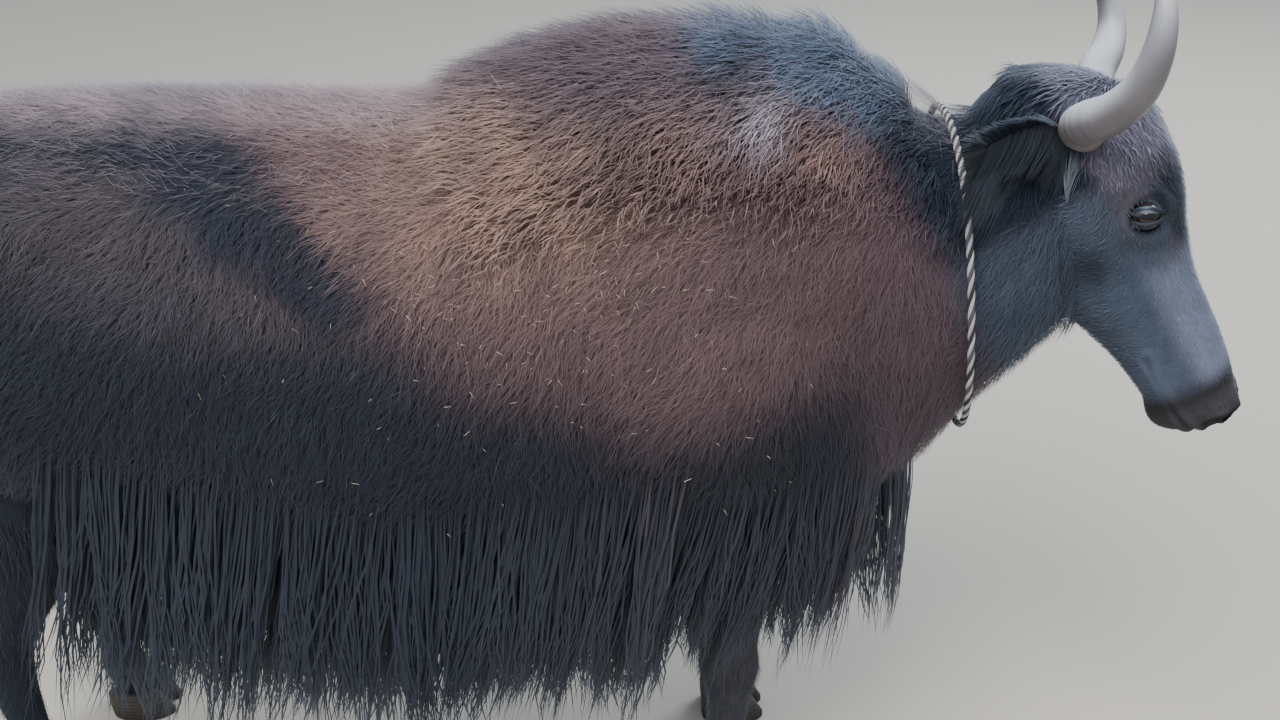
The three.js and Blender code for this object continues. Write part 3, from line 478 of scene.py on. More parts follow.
def new_material(name, roughness, specular=0.5, sheen=0.0, sheen_tint=(1, 1, 1)):
    material = bpy.data.materials.new(name)
    material.use_nodes = True
    shader = material.node_tree.nodes["Principled BSDF"]
    shader.inputs["Roughness"].default_value = roughness
    shader.inputs["Specular IOR Level"].default_value = specular
    shader.inputs["Sheen Weight"].default_value = sheen
    shader.inputs["Sheen Roughness"].default_value = 0.5
    shader.inputs["Sheen Tint"].default_value = (*sheen_tint, 1)
    return material, shader


def noise_node(nodes, scale, detail):
    noise = nodes.new("ShaderNodeTexNoise")
    noise.inputs["Scale"].default_value = scale
    noise.inputs["Detail"].default_value = detail
    return noise


def tinted(name, roughness, specular=0.3, sheen=0.0, sheen_tint=(1, 1, 1), strand=None, bump=None):
    """A material coloured by the Tint attribute, with fine streaks along a strand or a fine bump."""
    material, shader = new_material(name, roughness, specular, sheen, sheen_tint)
    nodes, links = material.node_tree.nodes, material.node_tree.links
    colour = nodes.new("ShaderNodeAttribute")
    colour.attribute_name = "Tint"
    result = colour.outputs["Color"]
    if strand:
        places = nodes.new("ShaderNodeUVMap")
        places.uv_map = "Strand"
        noise = noise_node(nodes, 1, 2)
        links.new(places.outputs["UV"], noise.inputs["Vector"])
        spread = nodes.new("ShaderNodeMapRange")
        limits = {"From Min": 0.3, "From Max": 0.7, "To Min": 1 - strand, "To Max": 1 + strand}
        for socket, value in limits.items():
            spread.inputs[socket].default_value = value
        links.new(noise.outputs["Fac"], spread.inputs["Value"])
        mix = nodes.new("ShaderNodeVectorMath")
        mix.operation = "MULTIPLY"
        links.new(result, mix.inputs[0])
        links.new(spread.outputs["Result"], mix.inputs[1])
        result = mix.outputs["Vector"]
    links.new(result, shader.inputs["Base Color"])
    if bump:
        scale, strength, distance = bump
        noise = noise_node(nodes, scale, 6)
        place = nodes.new("ShaderNodeTexCoord")
        links.new(place.outputs["Object"], noise.inputs["Vector"])
        relief = nodes.new("ShaderNodeBump")
        relief.inputs["Strength"].default_value = strength
        relief.inputs["Distance"].default_value = distance
        links.new(noise.outputs["Fac"], relief.inputs["Height"])
        links.new(relief.outputs["Normal"], shader.inputs["Normal"])
    return material


COAT = tinted("Coat", 0.7, 0.2, 0.25, (0.75, 0.85, 1.0), strand=0.2)
SKIN = tinted("Skin", 0.8, 0.2, bump=(420, 0.5, 0.0015))
HORN = tinted("Horn", 0.38, 0.45, bump=(240, 0.25, 0.0006))
CLAW = tinted("Claw", 0.55, 0.4, bump=(300, 0.3, 0.0006))
EYE = tinted("Eye", 0.05, 0.6)
ROPE = tinted("Rope", 0.85, 0.2, bump=(900, 0.6, 0.0008))
STRAW = tinted("Straw", 0.6, 0.3)


# Colours

RUST = linear("#6f595c")
GOLD = linear("#a98b7a")
NEAR_BLACK = linear("#252b36")
# partly painted sheen: dark hair whose bluish tint is sky light on black hair
BLUE_BLACK = linear("#202a39")
GREY_BROWN = linear("#48454d")
BACK_SHEEN = linear("#a9979c")
LILAC = linear("#a39ba8")
MANE_BROWN = linear("#5c505a")
# partly painted sheen: dark hair whose slate-blue tint is sky light on black hair
SLATE = linear("#55677f")
NECK_BROWN = linear("#66535a")
POLL = linear("#696a7d")
FOREHEAD = linear("#858091")
NOSE = linear("#7d849a")
CHEEK = linear("#4f5a6c")
MUZZLE = linear("#2a282c")
NOSE_PAD = linear("#1b191c")
TAIL_BLACK = linear("#201d20")
# painted sheen: the pale tone of the soft rim of light along the back's outline
FUZZ_SHEEN = linear("#b9aab0")
LOCK_GREY = linear("#6c727d")
LIP = linear("#4b474c")
LID = linear("#282e37")
# painted highlight: the pale line of light on the wet edges of the lids
LID_MARGIN_HIGHLIGHT = linear("#8f98a6")
NOSTRIL = linear("#0b0a0c")
EYE_WHITE = linear("#3a3436")
IRIS = linear("#1a100b")
PUPIL = linear("#050507")
# painted light and shade on the horns: pale on the lit top, grey on the shaded underside
HORN_PALE_LIT = linear("#cdd1d8")
HORN_UNDER_SHADE = linear("#686469")
HORN_BASE = linear("#857b72")
HORN_TIP = linear("#b9b8b8")
CLAW_DARK = linear("#2e2b28")
CLAW_PALE = linear("#5a534b")
STRAW_TONE = linear("#c2b29a")
FLOOR_TONE = linear("#c4bdb2")

# The dark band over the hip and the lower edge of the slate shoulder, as x and z.
HIP_BAND = np.array([[-520, 1098], [-420, 1117], [-332, 1114], [-260, 1089], [-128, 1000], [-58, 956]])
SLATE_EDGE = [(330, 1185), (373, 1160), (433, 1141), (491, 1127), (563, 1108), (648, 1080), (720, 1070)]


def band_distance(x, z, line):
    """How far each place on the flank lies from a line of x and z points."""
    nearest = np.full(len(x), 1e9)
    for (x0, z0), (x1, z1) in zip(line[:-1], line[1:]):
        way_x, way_z = x1 - x0, z1 - z0
        share = np.clip(((x - x0) * way_x + (z - z0) * way_z) / (way_x ** 2 + way_z ** 2), 0, 1)
        nearest = np.minimum(nearest, np.hypot(x - x0 - share * way_x, z - z0 - share * way_z))
    return nearest


def spot(x, z, at, reach):
    return np.exp(-((x - at[0]) / reach[0]) ** 2 - ((z - at[1]) / reach[1]) ** 2)


def laid(colour, layers):
    """The colours with each tone laid over them by its amount, from 0 to 1."""
    for tone, amount in layers:
        colour = colour + (tone - colour) * np.clip(amount, 0, 1)[:, None]
    return colour


def body_markings(x, z, patchy, fine):
    hip = band_distance(x, z, HIP_BAND) + 12 * fine
    low = z + 30 * patchy + 0.25 * np.clip(x, -500, 330) - 0.15 * np.maximum(x - 330, 0)
    ridge = smooth(1080, 1124, z) * smooth(170, 50, x)
    mane = smooth(1092, 1145, z - 0.06 * (x - 300) + 12 * patchy) * smooth(10, 130, x)
    over_edge = z - table(SLATE_EDGE, x) + 12 * fine
    front = smooth(-14, 22, over_edge) * smooth(360, 430, x) * smooth(740, 700, x)
    neck = smooth(540, 640, x) * smooth(1110, 1060, z)
    return laid(np.tile(RUST, (len(x), 1)), [
        (GOLD, 0.75 * spot(x, z, (150, 1070), (190, 110)) * (0.8 + 0.35 * fine)),
        (GREY_BROWN, 0.88 * smooth(30, -190, x + 50 * patchy + 0.9 * (z - 960))),
        (BLUE_BLACK, 0.85 * smooth(62, 22, hip)),
        (NEAR_BLACK, 0.45 * spot(x, z, (282, 1090), (24, 44))),
        (NEAR_BLACK, 0.93 * smooth(965, 795, low)),
        (BACK_SHEEN, 0.8 * ridge * (0.85 + 0.25 * fine)),
        (MANE_BROWN, 0.85 * mane),
        (SLATE, 0.9 * front),
        (BACK_SHEEN, 0.3 * smooth(1160, 1180, z)),
        (NEAR_BLACK, 0.7 * spot(x, z, (430, 1140), (30, 13))),
        (LILAC, 0.85 * spot(x, z, (458, 1106), (48, 24)) * (0.7 + 0.6 * fine)),
        (GOLD, 0.35 * spot(x, z, (530, 1076), (45, 18))),
        (NECK_BROWN, 0.85 * neck),
        (NEAR_BLACK, smooth(690, 560, z)),
        (TAIL_BLACK, smooth(-690, -725, x)),
    ])


def head_markings(a, l, u, fine):
    band = smooth(112, 134, a + 6 * fine) * smooth(232, 205, a + 6 * fine) * smooth(66, 80, u)
    return laid(np.tile(POLL, (len(a), 1)), [
        (FOREHEAD, smooth(10, 60, a)),
        (GREY_BROWN, 0.8 * smooth(88, 112, a + 8 * fine)),
        (CHEEK, 0.9 * smooth(50, 10, u) * smooth(60, 110, a)),
        (BLUE_BLACK, 0.97 * smooth(42, 18, u) * smooth(110, 80, a)),
        (CHEEK, 0.85 * smooth(150, 185, a + 8 * fine) * smooth(50, 70, l)),
        (NEAR_BLACK, 0.85 * spot(a, u, (190, -28), (34, 30))),
        (NEAR_BLACK, 0.95 * band),
        (NOSE, 0.9 * smooth(205, 245, a) * smooth(5, 40, u)),
        (MUZZLE, smooth(372, 402, a)),
    ])


def markings(points):
    """The coat's colour at each place, the same for skin and hair."""
    x, _, z = points.T
    patchy = ripple(points, 120, 3)
    fine = ripple(points, 38, 4)
    speck = ripple(points, 13, 5)
    a, l, u = head_local(points).T
    l = np.abs(l)
    beyond = np.maximum(0, np.maximum(-60 - a, a - 470))
    radial = np.sqrt(np.minimum(l, 400) ** 2 * 0.6 + u ** 2 + beyond ** 2)
    head = smooth(235, 165, radial) * smooth(-120, -60, a)
    colour = laid(body_markings(x, z, patchy, fine), [(head_markings(a, l, u, fine), head)])
    return colour * (1 + 0.07 * speck + 0.05 * fine)[:, None]


# Skin

def loft_of(surface, last, steps, sides):
    return closed_loft(grid_of(surface, last, steps, sides))


def body_inner(place, angle):
    x = row_at(BODY_ROWS, place)[..., 0]
    return body_point(place, angle, -table(BODY_DEPTH, x))


def head_inner(place, angle):
    along = row_at(HEAD_ROWS, place)[..., 0]
    return head_point(head_form(place, angle, -table(HEAD_DEPTH, along)))


def leg_inner(rows, side):
    def surface(place, angle):
        z = row_at(rows, place)[..., 2]
        return leg_point(rows, side, place, angle, -table(LEG_DEPTH, z))
    return surface


def tail_inner(place, angle):
    return tail_point(place, angle, -TAIL_DEPTH)


head_loft = loft_of(head_inner, len(HEAD_ROWS) - 1, 170, 120)
core_parts = [loft_of(body_inner, len(BODY_ROWS) - 1, 140, 96), head_loft,
              loft_of(tail_inner, len(TAIL_LINE) - 1, 60, 20)]
for side in (1, -1):
    for _, rows in LEGS:
        core_parts.append(loft_of(leg_inner(rows, side), len(rows) - 1, 90, 28))


SKIN_VOXEL = 0.0105


def remeshed(points, triangles, voxel):
    """One closed smooth surface round overlapping parts."""
    source = add_object("core", mesh_from("core", points, triangles))
    remesh = source.modifiers.new("Remesh", "REMESH")
    remesh.mode = "VOXEL"
    remesh.voxel_size = voxel
    soften = source.modifiers.new("Soften", "SMOOTH")
    soften.factor = 0.5
    soften.iterations = 5
    depsgraph = bpy.context.evaluated_depsgraph_get()
    mesh = bpy.data.meshes.new_from_object(source.evaluated_get(depsgraph))
    bpy.data.objects.remove(source)
    return mesh


def mesh_points(mesh):
    co = np.zeros(len(mesh.vertices) * 3, np.float32)
    mesh.vertices.foreach_get("co", co)
    return co.reshape(-1, 3).astype(float) * 1000 - SHIFT


def set_points(mesh, points):
    mesh.vertices.foreach_set("co", ((points + SHIFT) * 0.001).astype(np.float32).ravel())
    mesh.update()


def refine(mesh, wanted):
    """Splits the faces whose centre the test picks, once."""
    edit = bmesh.new()
    edit.from_mesh(mesh)
    centres = np.array([f.calc_center_median() for f in edit.faces]) * 1000 - SHIFT
    picked = wanted(head_local(centres))
    edges = {e for f, take in zip(edit.faces, picked) if take for e in f.edges}
    bmesh.ops.subdivide_edges(edit, edges=list(edges), cuts=1, use_grid_fill=True)
    edit.to_mesh(mesh)
    edit.free()


def on_head(local):
    inside = (np.abs(local[:, 1]) < 150) & (np.abs(local[:, 2]) < 190)
    return (local[:, 0] > 20) & (local[:, 0] < 480) & inside


MOUTH_LINE = np.array([
    [332, 55, -30], [362, 58, -34], [398, 60, -33], [428, 53, -27], [447, 34, -20], [456, 0, -17],
])
NOSTRIL_AT = np.array([447, 35, 27])


def line_distance(points, line):
    """Distance from each point to the nearest of a line's dense points."""
    tree = point_tree(line)
    return np.array([tree.find(p)[2] for p in points])


def shape_face(points):
    """Mouth, nostrils, lips, sockets and folds, as moves along the head's outward direction."""
    local = head_local(points)
    chosen = np.nonzero(on_head(local))[0]
    p = local[chosen]
    folded = on_left(p)
    middle = np.stack([np.minimum(p[:, 0], 425), 0 * p[:, 0], 0 * p[:, 0] - 4], -1)
    outward = unit(p - middle)
    move = np.zeros(len(p))

    mouth = line_distance(folded, line_at(MOUTH_LINE, np.linspace(0, 1, 160)))
    move -= 6 * np.exp(-(mouth / 3.4) ** 2)
    move += 3.2 * np.exp(-((mouth - 10) / 5.5) ** 2)

    d = folded - NOSTRIL_AT
    slant = 0.55 * d[:, 2] - 0.84 * d[:, 1]
    across = 0.84 * d[:, 2] + 0.55 * d[:, 1]
    ring = np.sqrt((slant / 14.5) ** 2 + (across / 8.5) ** 2 + (np.minimum(d[:, 0], 0) / 26) ** 2)
    move -= 17 * smooth(1.05, 0.45, ring)
    move += 4.2 * np.exp(-((ring - 1.35) / 0.32) ** 2)
    philtrum = np.exp(-(p[:, 1] / 3.2) ** 2) * smooth(436, 448, p[:, 0]) * smooth(-16, -8, p[:, 2])
    move -= 2.2 * philtrum

    eye = folded - EYE_AT
    flat = np.sqrt((eye[:, 0] / 1.15) ** 2 + eye[:, 2] ** 2)
    near = smooth(70, 40, np.linalg.norm(eye, axis=1))
    move -= 16 * smooth(19, 13, flat) * near
    move += 4.4 * np.exp(-((flat - 28) / 8) ** 2) * near
    move -= 1.6 * np.exp(-((flat - 36 - 0.12 * eye[:, 0]) / 2.4) ** 2) * near
    below = smooth(0, -14, eye[:, 2]) * near
    move -= 1.2 * np.exp(-((flat - 45) / 2.6) ** 2) * below
    jaw = np.exp(-((p[:, 2] + 66) / 22) ** 2) * smooth(150, 240, p[:, 0]) * smooth(420, 350, p[:, 0])
    move -= 3.0 * jaw

    result = points.copy()
    result[chosen] = head_point(p + outward * move[:, None])
    return result


def tree_of(points, faces):
    """A surface to find the nearest places on."""
    return BVHTree.FromPolygons([Vector(p) for p in points], [tuple(f) for f in faces])


def make_skin():
    points, triangles = gathered(core_parts)
    mesh = remeshed(points, triangles, SKIN_VOXEL)
    refine(mesh, on_head)
    refine(mesh, lambda local: (local[:, 0] > 330) & on_head(local) | (eye_distance(local) < 62))
    surface = tree_of(*head_loft)
    points = mesh_points(mesh)
    chosen = np.nonzero(on_head(head_local(points)))[0]
    for i in chosen:
        spot, _, _, distance = surface.find_nearest(Vector(points[i]))
        if distance is not None and distance < 10:
            weight = 1 - float(smooth(5, 10, distance))
            points[i] += (np.array(spot) - points[i]) * weight
    set_points(mesh, shape_face(points))
    return mesh


skin_mesh = make_skin()


# Ears and lids, joined to the skin as thin closed leaves

def ear_rings(side, steps=26, sides=28):
    share = np.linspace(0, 1, steps)
    centre = head_point(mirrored(line_at(EAR_LINE, share), side))
    sizes = row_at(np.stack([EAR_WIDTHS, EAR_THICK], -1), share * (len(EAR_WIDTHS) - 1))
    sizes = np.maximum(sizes, 1.2)
    facing = unit(head_direction(mirrored(EAR_FACE, side)))
    tangent = unit(np.gradient(centre, axis=0))
    across = unit(np.cross(tangent, facing))
    out = np.cross(across, tangent)
    out *= np.sign(out @ facing)[:, None]
    angle = round_angles(sides)
    c, s = np.cos(angle), np.sin(angle)
    opened = smooth(0.1, 0.35, share)[:, None]
    back = -np.abs(s)[None] * sizes[:, 1:]
    cup = (1 - opened) * sizes[:, 1:] * np.abs(s)[None] - opened * (sizes[:, 1:] * 0.62) * (1 - c[None] ** 2)
    lift = np.where(s[None] > 0, cup, back) + 1.2 * opened * (s[None] > 0)
    wide = sizes[:, :1] * c[None]
    return centre[:, None] + across[:, None] * wide[..., None] + out[:, None] * lift[..., None]


LID_SLANT = (0.915, 0.404)  # cosine and sine of the eye's slant in the head
LID_OPENING = {True: 20, False: 15}


def lid_sheet(side, above):
    """A lid from the orbit's skin over the eyeball to its rolled margin."""
    across = np.linspace(-1, 1, 33)
    swing = across * math.radians(88)
    opening = math.radians(LID_OPENING[above])
    sign = -1 if above else 1
    rows = []
    profile = [  # each row's share of the opening and its distance from the eye's middle
        (3.1, 15.5), (2.5, 18.8), (2.0, 21.0), (1.6, 22.0), (1.3, 21.4), (1.08, 20.6), (0.98, 19.4),
        (0.98, 17.9), (1.2, 17.3), (1.9, 16.6), (2.9, 13.0),
    ]
    for open_share, reach in profile:
        lift = np.cos(swing) * opening * open_share * sign
        lift = np.clip(lift, -math.radians(88), math.radians(88))
        open_way = reach * np.sin(lift) * 0.98
        corner_way = reach * 1.06 * np.sin(swing)
        rows.append(np.stack([
            EYE_AT[0] + open_way * LID_SLANT[0] - corner_way * LID_SLANT[1],
            side * (EYE_AT[1] + reach * np.cos(lift) * np.cos(swing * 0.93) * 0.9),
            EYE_AT[2] - corner_way * LID_SLANT[0] - open_way * LID_SLANT[1],
        ], -1))
    grid = np.array(rows).transpose(1, 0, 2)
    return head_point(grid)


def make_leaves():
    parts = []
    for side in (1, -1):
        parts.append(closed_loft(ear_rings(side)))
        parts.append(closed_loft(lid_sheet(side, True)))
        parts.append(closed_loft(lid_sheet(side, False)))
    return gathered(parts)


def joined_skin():
    leaves = mesh_from("leaves", *make_leaves())
    edit = bmesh.new()
    edit.from_mesh(skin_mesh)
    edit.from_mesh(leaves)
    bmesh.ops.triangulate(edit, faces=edit.faces[:])
    bmesh.ops.recalc_face_normals(edit, faces=edit.faces[:])
    mesh = bpy.data.meshes.new("skin")
    edit.to_mesh(mesh)
    edit.free()
    mesh.polygons.foreach_set("use_smooth", np.ones(len(mesh.polygons), bool))
    bpy.data.meshes.remove(leaves)
    return mesh


def skin_colours(points):
    local = head_local(points)
    folded = on_left(local)
    from_eye = folded - EYE_AT
    eye = np.linalg.norm(from_eye, axis=1)
    upper = smooth(6, -6, from_eye @ [LID_SLANT[0], 0, -LID_SLANT[1]])
    pad = smooth(432, 440, local[:, 0]) * smooth(-12, -2, local[:, 2])
    lips = smooth(395, 425, local[:, 0]) * (1 - pad)
    ear = line_distance(folded, line_at(EAR_LINE, np.linspace(0.15, 1, 40)))
    nostril = smooth(17, 11, np.linalg.norm(folded - (NOSTRIL_AT - [9, 0, 0]), axis=1))
    return laid(markings(points) * SKIN_SHADE, [
        (LIP, 0.6 * lips),
        (NOSE_PAD, pad),
        (LID, smooth(30, 20, eye)),
        # painted highlight along the lid edges, strongest on the upper lid
        (LID_MARGIN_HIGHLIGHT, smooth(20.6, 19.2, eye) * (0.1 + 0.7 * upper)),
        (BLUE_BLACK * 0.7, smooth(46, 34, ear)),
        (NOSTRIL, 0.9 * nostril),
    ])


SKIN_SHADE = 0.78  # the skin between the hairs is darker than the coat
FLESH = ["torso", "neck", "head", "ear_left", "ear_right", "tail",
         "leg_front_left", "leg_front_right", "leg_hind_left", "leg_hind_right"]
final_skin = joined_skin()
tint(final_skin, skin_colours(mesh_points(final_skin)))
place_piece("skin", final_skin, SKIN, FLESH)
skin_tree = tree_of(mesh_points(final_skin), [f.vertices for f in final_skin.polygons])


# Hair

TUFT_SIDES = 3
TUFT_THICK = 0.45  # a tuft's thickness for its width
ROOT_SHADE, TIP_LIGHT = 0.84, 1.1
BRIGHT_TUFTS = 0.025  # the share of tufts that are much lighter
MOST_TRIANGLES = 190_000
PATCH = 0.003  # how wide one tuft is on the OFBake map
COAT_REACH = 55  # more than the deepest coat between its surface and the skin
BODY_LAST = len(BODY_ROWS) - 1.0
HEAD_LAST = len(HEAD_ROWS) - 1.0
TAIL_LAST = len(TAIL_LINE) - 1.0


def settle(points, reach):
    """The skin under each point: its place, its normal and its distance, which is huge past the reach."""
    spots = np.zeros_like(points)
    normals = np.zeros_like(points)
    distances = np.full(len(points), 1e9)
    for i, p in enumerate(points):
        spot, normal, _, distance = skin_tree.find_nearest(Vector(p), reach)
        if spot is not None:
            spots[i] = spot
            normals[i] = normal
            distances[i] = distance
    return spots, normals, distances


def scattered(surface, last, count, density, first=0.0):
    """Places and angles spread evenly over a surface, thicker where the density is larger."""
    tries = count * 8
    place = random.uniform(first, last, tries)
    angle = random.uniform(0, 2 * math.pi, tries)
    step = 0.01
    point = surface(place, angle)
    along = surface(np.minimum(place + step, last), angle) - surface(np.maximum(place - step, first), angle)
    round_ = surface(place, angle + step) - surface(place, angle - step)
    area = np.linalg.norm(np.cross(along, round_), axis=1)
    weight = area * density(place, angle, point)
    cell = np.floor(place * 12).astype(int)
    turn = np.where(cell % 2 == 0, angle, -angle)
    order = np.lexsort((turn, cell))
    total = np.cumsum(weight[order])
    picks = (np.arange(count) + random.uniform(0, 1, count)) * total[-1] / count
    chosen = np.unique(order[np.minimum(np.searchsorted(total, picks), tries - 1)])
    normal = unit(np.cross(along[chosen], round_[chosen]))
    outward = point[chosen] - surface(place[chosen], angle[chosen] + math.pi)
    normal *= np.sign(np.sum(normal * outward, 1))[:, None]
    return place[chosen], angle[chosen], point[chosen], normal


def rooted(surface, last, count, density, reach=COAT_REACH, first=0.0):
    """Scattered places of the coat's surface that lie outside the skin, with their roots on the skin."""
    place, angle, point, normal = scattered(surface, last, count, density, first)
    roots, skin_normal, distance = settle(point, reach)
    mask = (distance < reach) & (np.sum((point - roots) * skin_normal, 1) > -2)
    return [values[mask] for values in (place, angle, point, normal, roots, distance)]


def vary(low, high, like):
    """A random value for each root."""
    return random.uniform(low, high, len(like))


def along_surface(direction, normal):
    """The direction laid flat on the surface."""
    return unit(direction - normal * np.sum(direction * normal, -1, keepdims=True))


def turned(direction, normal, degrees):
    angle = np.radians(degrees)[:, None]
    return direction * np.cos(angle) + np.cross(normal, direction) * np.sin(angle)


def tousled(lie, normal, roots, size, amount, own):
    swirl = amount * ripple(roots, size, 11) + 0.5 * amount * ripple(roots, size * 0.4, 12)
    return turned(along_surface(lie, normal), normal, swirl + random.normal(0, own, len(roots)))


def clumps(points, count):
    """For each point the nearest of a few chosen points, and its number."""
    chosen = points[random.choice(len(points), count, replace=False)]
    tree = point_tree(chosen)
    number = np.array([tree.find(p)[1] for p in points])
    return chosen[number], number


def drawn_in(centre, roots, low, high):
    """The move of each tip toward the middle of its clump."""
    return (centre - roots) * vary(low, high, roots)[:, None]


def unwrap(place, last, turn, full=2 * math.pi):
    """Where roots lie on the unwrap of their surface."""
    return np.stack([0.01 + 0.97 * place / last, 0.01 + 0.97 * turn / full], -1)


def tuft_faces(segments):
    """The triangles of one closed tuft: its rings, its pointed end and its cap at the root."""
    faces = []
    for r in range(segments - 1):
        for i in range(TUFT_SIDES):
            a, b = r * TUFT_SIDES + i, r * TUFT_SIDES + (i + 1) % TUFT_SIDES
            faces += [[a, a + TUFT_SIDES, b], [b, a + TUFT_SIDES, b + TUFT_SIDES]]
    tip = segments * TUFT_SIDES
    end = tip - TUFT_SIDES
    faces += [[end + i, tip, end + (i + 1) % TUFT_SIDES] for i in range(TUFT_SIDES)]
    return np.array(faces + [[0, 1, 2]])


def hair(name, roots, normals, lie, length, width, rise, colours, uv, segments=3,
         gather=None, sag=0.0, swing=None, wave=0.0, hug=0.0, sink=4.0):
    """Thin closed tufts: one for each root, bent along its lie, in pieces of limited size."""
    count = len(roots)
    share = np.linspace(0, 1, segments + 1)
    t = share[None, :, None]
    length = length[:, None, None]
    side = unit(np.cross(lie, normals))[:, None]
    up = normals[:, None]
    centre = roots[:, None] - up * sink + lie[:, None] * length * t
    centre = centre + up * (np.asarray(rise)[:, None, None] + sink) * (1 - (1 - t) ** 2)
    centre = centre - up * np.reshape(hug, (-1, 1, 1)) * t * t
    centre = centre + np.array([0, 0, -1.0]) * np.reshape(sag, (-1, 1, 1)) * t * t
    if gather is not None:
        centre = centre + gather[:, None] * t ** 1.3
    if swing is not None:
        centre = centre + side * swing[:, None, None] * t * t
    if wave:
        phase = random.uniform(0, 2 * math.pi, (count, 1, 1))
        beat = random.uniform(1.2, 2.4, (count, 1, 1)) * 2 * math.pi
        centre = centre + side * wave * np.sin(phase + beat * t) * t
    tangent = unit(np.gradient(centre, axis=1))
    out = unit(np.cross(side, tangent))
    across = np.cross(tangent, out)
    profile = ((0.6 + 1.5 * share) * (1 - share ** 1.6))[None, :-1, None, None]
    angle = np.arange(TUFT_SIDES) * 2 * math.pi / TUFT_SIDES + math.pi / 2
    half = width[:, None, None, None] * 0.5 * profile
    ring = (centre[:, :-1, None] + across[:, :-1, None] * half * np.cos(angle)[None, None, :, None]
            + out[:, :-1, None] * half * TUFT_THICK * np.sin(angle)[None, None, :, None])
    points = np.concatenate([ring.reshape(count, -1, 3), centre[:, -1:]], 1)
    per_tuft = points.shape[1]
    faces = tuft_faces(segments)

    along = np.concatenate([np.repeat(share[:-1], TUFT_SIDES), [1.0]])
    light = ROOT_SHADE + (TIP_LIGHT - ROOT_SHADE) * along
    tone = colours[:, None] * light[None, :, None]
    round_ = np.concatenate([np.tile(np.arange(TUFT_SIDES) / TUFT_SIDES, segments), [0.5]])
    bake = uv[:, None] + np.stack([round_, along], -1)[None] * PATCH
    offset = random.uniform(0, 500, (count, 1))
    strand = np.stack([offset + round_[None] * 3.2, offset * 0.7 + along[None] * 2.2], -1)

    pieces = math.ceil(count / (MOST_TRIANGLES // len(faces)))
    for k, part in enumerate(np.array_split(np.argsort(roots[:, 0]), pieces)):
        base = (np.arange(len(part)) * per_tuft)[:, None, None]
        maps = {"OFBake": bake[part].reshape(-1, 2), "Strand": strand[part].reshape(-1, 2)}
        mesh = mesh_from(
            f"{name}_{k + 1}", points[part].reshape(-1, 3), (faces[None] + base).reshape(-1, 3),
            tone[part].reshape(-1, 3), maps, np.repeat(normals[part], per_tuft, 0))
        place_piece(f"{name}_{k + 1}", mesh, COAT)


def tones(roots, number, spread=0.08):
    """Colours of tufts: the markings, with each tuft and each clump a little lighter or darker."""
    clump_tone = random.normal(1, spread * 0.7, number.max() + 1)[number]
    own = random.normal(1, spread, len(roots))
    colour = markings(roots) * np.clip(clump_tone * own, 0.45, 1.9)[:, None]
    bright = vary(0, 1, roots) < BRIGHT_TUFTS
    colour[bright] = colour[bright] * 1.5 + 0.02
    return np.clip(colour, 0.003, 0.9)


def body_lie(point, normal):
    """The way the body's hair lies: back along the ridge, down and back on the sides."""
    x = point[:, 0]
    hand = np.sign(point[:, 1])

    def way(back, out, down):
        return np.stack([back + 0 * x, out * hand, down + 0 * x], -1)
    top = smooth(0.55, 0.93, normal[:, 2])
    shoulder = smooth(-0.1, 0.5, normal[:, 2]) * (smooth(60, 240, x) * smooth(720, 600, x))
    lie = way(-0.42, 0.05, -1) * (1 - shoulder)[:, None] + way(-0.62, 0.4, -0.62) * shoulder[:, None]
    lie = lie * (1 - top)[:, None] + way(-1, 0.3, -0.2) * top[:, None]
    neck = smooth(640, 720, x)[:, None]
    return lie * (1 - neck) + way(-0.5, 0.25, -1) * neck


def place_at(x):
    grid = np.linspace(0, BODY_LAST, 800)
    return np.interp(x, row_at(BODY_ROWS, grid)[:, 0], grid)


def under_crest(place, point):
    """How high places lie over the body's top line, below zero on the sides."""
    crest = row_at(BODY_ROWS, place)
    return point[:, 2] - (crest[:, 2] + crest[:, 3])


def in_rope(points, reach):
    """How close points lie to the plane of the rope, from 0 to 1."""
    return np.exp(-(((points - ROPE_PLANE_AT) @ unit(ROPE_PLANE_FACING)) / reach) ** 2)


def coat_of_body():
    def density(place, angle, point):
        x, y, z = point.T
        near = 1 + 0.5 * smooth(0.1, -0.1, y) * smooth(750, 900, z)
        return near * (smooth(480, 620, z) * 0.8 + 0.2)
    layers = [  # name, count, length, width, depth of the root and swirl
        ("coat_under", 30000, 42, 3.4, 0.0, 16),
        ("coat_body", 98000, 26, 1.9, 0.45, 26),
    ]
    for name, count, base, width, depth, swirl in layers:
        place, angle, point, normal, roots, distance = rooted(body_point, BODY_LAST, count, density)
        x, z = point[:, 0], point[:, 2]
        centre, number = clumps(roots, len(roots) // 14)
        lie = tousled(body_lie(point, normal), normal, roots, 70, swirl, swirl * 0.75)
        hump = smooth(80, 230, x) * smooth(1020, 1120, z)
        long = 1 + 0.5 * hump + 0.5 * smooth(760, 620, z) + 0.25 * smooth(-400, -620, x)
        length = base * long * vary(0.7, 1.3, roots)
        pressed = 1 - 0.2 * in_rope(roots, 24)
        start = roots + normal * (distance * depth * pressed)[:, None]
        rise = distance * (vary(0.7, 1.15, roots) - depth) * pressed
        gather = drawn_in(centre, roots, 0.1, 0.35)
        hair(name, start, normal, lie, length, width * vary(0.75, 1.25, roots), rise,
             tones(roots, number), unwrap(place, BODY_LAST, angle), segments=1, gather=gather,
             hug=length ** 2 / 900, swing=random.normal(0, 4, len(roots)))


MANE_FIRST, MANE_LAST = 90, 715
MANE_STAND = [  # x and how far the mane stands off the ridge
    (40, 8), (110, 28), (180, 38), (310, 48), (380, 43), (450, 44), (500, 54), (525, 52), (550, 34),
    (575, 16), (600, 12), (632, 30), (665, 32), (700, 8),
]


def mane_stand(x, normal):
    return table(MANE_STAND, x) * smooth(0.3, 0.85, normal[:, 2])


